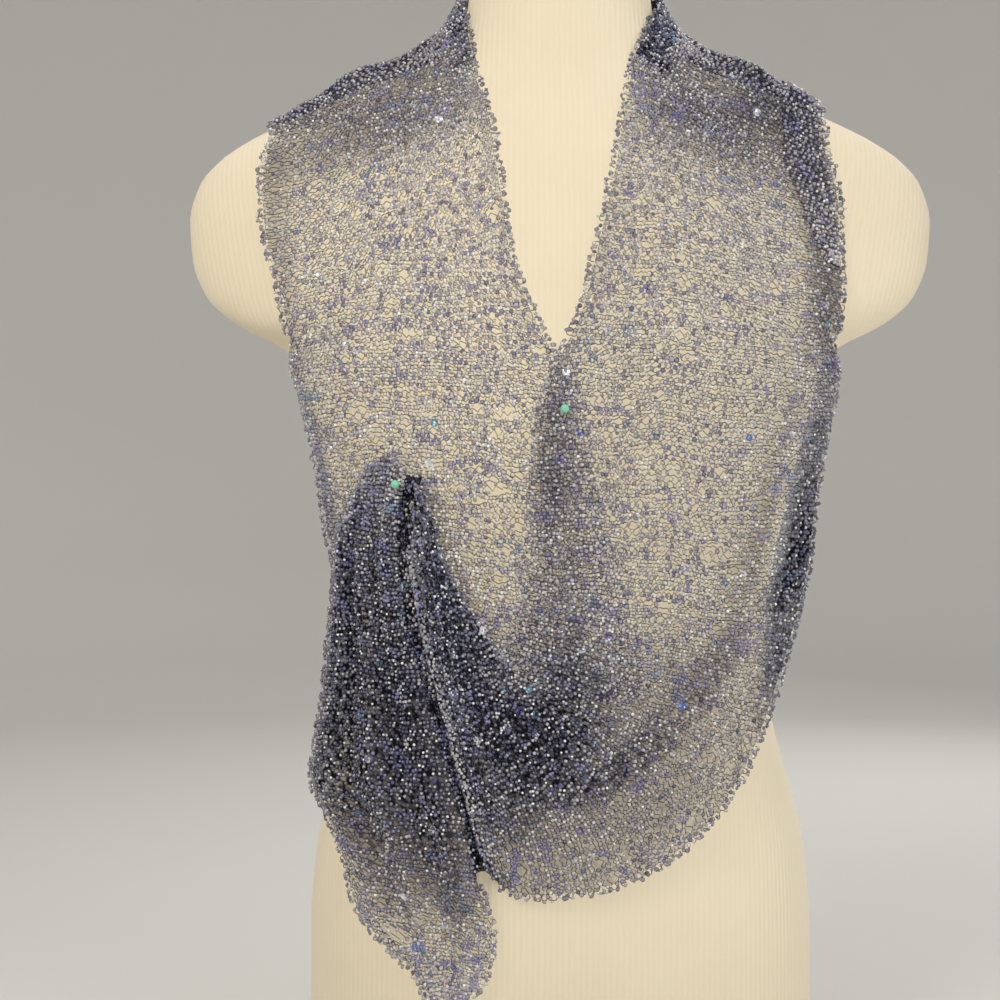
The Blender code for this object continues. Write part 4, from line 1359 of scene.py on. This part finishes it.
pleat_heights = np.linspace(*PLEAT_HEIGHTS[::-1], PLEAT_STEPS)
swag_rising = swag_surface["along"][:, 0] > SWAG_RISES
tail_side = edge_at(tail_surface["points"][:, -1], pleat_heights)[:, None]
swag_line = np.concatenate([swag_surface["points"][swag_rising, 0], swag_surface["points"][-1]])
swag_side = edge_at(swag_line, pleat_heights)[:, None]
pleat_shares = np.linspace(-PLEAT_TUCK, 1 + PLEAT_TUCK, PLEAT_ACROSS)
pleat_points = tail_side + (swag_side - tail_side) * pleat_shares[None, :, None]
pleat_points[..., 1] += PLEAT_DEPTH * np.sin(math.pi * np.clip(pleat_shares, 0, 1))
pleat_surface = {
    "points": pleat_points,
    "normals": outward_normals(pleat_points),
    "along": np.repeat(pleat_heights[:, None], PLEAT_ACROSS, axis=1),
    "across": np.repeat(pleat_shares[None], PLEAT_STEPS, axis=0),
    "span": PLEAT_HEIGHTS,
    "row_length": 1.0,
    "width": 1.0,
}
# The groove's painted shade is dark from its middle to the swag's side, and lighter towards the tail's.
pleat_shade = np.sin(math.pi * np.clip(pleat_shares, 0, 0.5)) ** 0.5
pleat_layers_and_shade = np.repeat(1 + pleat_shade[None], PLEAT_STEPS, axis=0)
pleat = knit_stretch("tail_pleat", pleat_surface, pleat_layers_and_shade, 71, PLEAT_STITCHES, edges=())
tail |= {"pleat_" + part: piece for part, piece in pleat.items()}
cloth_sheet("scarf_tail")

# Pins: two dressmaker's pins with mint glass heads, pushed straight back through the cloth into the form.
PIN_HEAD_RADIUS = 2.75
PIN_SHAFT_RADIUS = 0.35
PIN_LENGTH = 30.0
PIN_POINT = 2.0
PIN_TIP_RADIUS = 0.05
PIN_HEAD_POLE = 0.06
PIN_HEAD_STEPS = 18
PIN_TURN_STEPS = 32

MINT_DARK = (112, 206, 168)
MINT_LIGHT = (158, 228, 200)
STEEL_DARK = (150, 152, 156)
STEEL_LIGHT = (205, 206, 210)
glass_numbers = {"Roughness": 0.18, "Coat Weight": 0.6}
mint = speckled_finish("mint_glass_head", 300.0, MINT_DARK, MINT_LIGHT, glass_numbers)
steel_numbers = {"Roughness": 0.25, "Metallic": 1.0}
steel = speckled_finish("pin_steel", 500.0, STEEL_DARK, STEEL_LIGHT, steel_numbers)


def level_circle(radius, points):
    """Places evenly round a circle: the first and the second way of its plane."""
    angle = np.linspace(0, 2 * math.pi, points, endpoint=False)
    return radius * np.cos(angle), radius * np.sin(angle)


shaft_angle = math.asin(PIN_SHAFT_RADIUS / PIN_HEAD_RADIUS)
angles = np.linspace(PIN_HEAD_POLE, math.pi - shaft_angle, PIN_HEAD_STEPS + 1)
pin_profile = [(PIN_HEAD_RADIUS * math.sin(a), -PIN_HEAD_RADIUS * math.cos(a)) for a in angles]
pin_profile += [(PIN_SHAFT_RADIUS, PIN_LENGTH - PIN_POINT), (PIN_TIP_RADIUS, PIN_LENGTH)]
for node in ("pin_neckline", "pin_gather"):
    low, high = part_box(node)
    centre = np.array([(low.x + high.x) / 2, low.y, (low.z + high.z) / 2]) / MM
    centre[1] += PIN_HEAD_RADIUS
    turned = []
    for radius, reach in pin_profile:
        across, up = level_circle(radius, PIN_TURN_STEPS)
        turned.append(centre + np.stack([across, np.full(PIN_TURN_STEPS, reach), up], axis=-1))
    pin = lofted(node + "_turned", turned, mint, turned_over=True)
    pin.data.materials.append(steel.material)
    on_shaft = np.arange(len(pin.data.polygons)) >= PIN_HEAD_STEPS * PIN_TURN_STEPS
    pin.data.polygons.foreach_set("material_index", on_shaft.astype(np.int32))
    add_end_caps(pin, PIN_TURN_STEPS, turned_over=True)
    stands_for(pin, node)

# Stage: a plain pale studio floor that curves up all round, soft lights, and the camera of the photo.
STAGE_COLOR = (222, 220, 216)
# Each ring of the floor has a radius and a height, in metres.
STAGE_RISE = ((2.6, 0.06), (2.9, 0.25), (3.1, 0.6), (3.2, 1.2), (3.25, 2.6))
STAGE_PROFILE = ((0.02, 0.0), (1.0, 0.0), (2.2, 0.0)) + STAGE_RISE
STAGE_ROUND_POINTS = 96
studio = Finish("studio_floor", {"Base Color": display(*STAGE_COLOR), "Roughness": 0.9})
stage_rings = []
for radius, height in STAGE_PROFILE:
    x, y = level_circle(radius, STAGE_ROUND_POINTS)
    stage_rings.append(np.stack([x, y, np.full(STAGE_ROUND_POINTS, height)], axis=-1) / MM)
stage = lofted("studio_stage", stage_rings, studio, turned_over=True)
add_round_cap(stage, 0, STAGE_ROUND_POINTS, True)

# Each light has a place and an aim in metres, a size, its watts and a colour.
LIGHTS = (
    ("key_softbox", (-1.1, -1.5, 1.5), (0, 0, 0.42), 0.7, 17.5, (1.0, 0.97, 0.92)),
    ("fill_softbox", (1.4, -1.3, 0.5), (0, 0, 0.3), 1.0, 11, (0.96, 0.98, 1.0)),
    ("top_softbox", (0.1, 0.2, 2.2), (0, 0, 0.4), 1.2, 8, (1.0, 1.0, 1.0)),
    ("back_softbox", (0.9, 1.6, 1.3), (0, 0, 0.45), 0.9, 10, (1.0, 0.98, 0.95)),
)
for name, place, aim, size, watts, color in LIGHTS:
    lamp = bpy.data.lights.new(name, "AREA")
    lamp.size = size
    lamp.energy = watts
    lamp.color = color
    holder = bpy.data.objects.new(name, lamp)
    holder.location = place
    holder.rotation_euler = (Vector(aim) - Vector(place)).to_track_quat("-Z", "Y").to_euler()
    bpy.context.scene.collection.objects.link(holder)
AIR_COLOR = (1.0, 0.99, 0.97, 1.0)
AIR_STRENGTH = 0.46
world = bpy.data.worlds.new("studio_air")
world.use_nodes = True
background = world.node_tree.nodes["Background"].inputs
background["Color"].default_value = AIR_COLOR
background["Strength"].default_value = AIR_STRENGTH
bpy.context.scene.world = world
bpy.context.scene.view_settings.view_transform = "Standard"
bpy.context.scene.cycles.diffuse_bounces = 2
bpy.context.scene.cycles.glossy_bounces = 2

CAMERA_PLACE = (-0.0414, -1.3, 0.395)
VIEW_WIDTH = 0.69
SENSOR_WIDTH = 36.0
lens = bpy.data.cameras.new("photo_camera")
lens.sensor_width = SENSOR_WIDTH
lens.lens = SENSOR_WIDTH * -CAMERA_PLACE[1] / VIEW_WIDTH
camera = bpy.data.objects.new("photo_camera", lens)
camera.location = CAMERA_PLACE
camera.rotation_euler = (math.pi / 2, 0, 0)
bpy.context.scene.collection.objects.link(camera)
bpy.context.scene.camera = camera
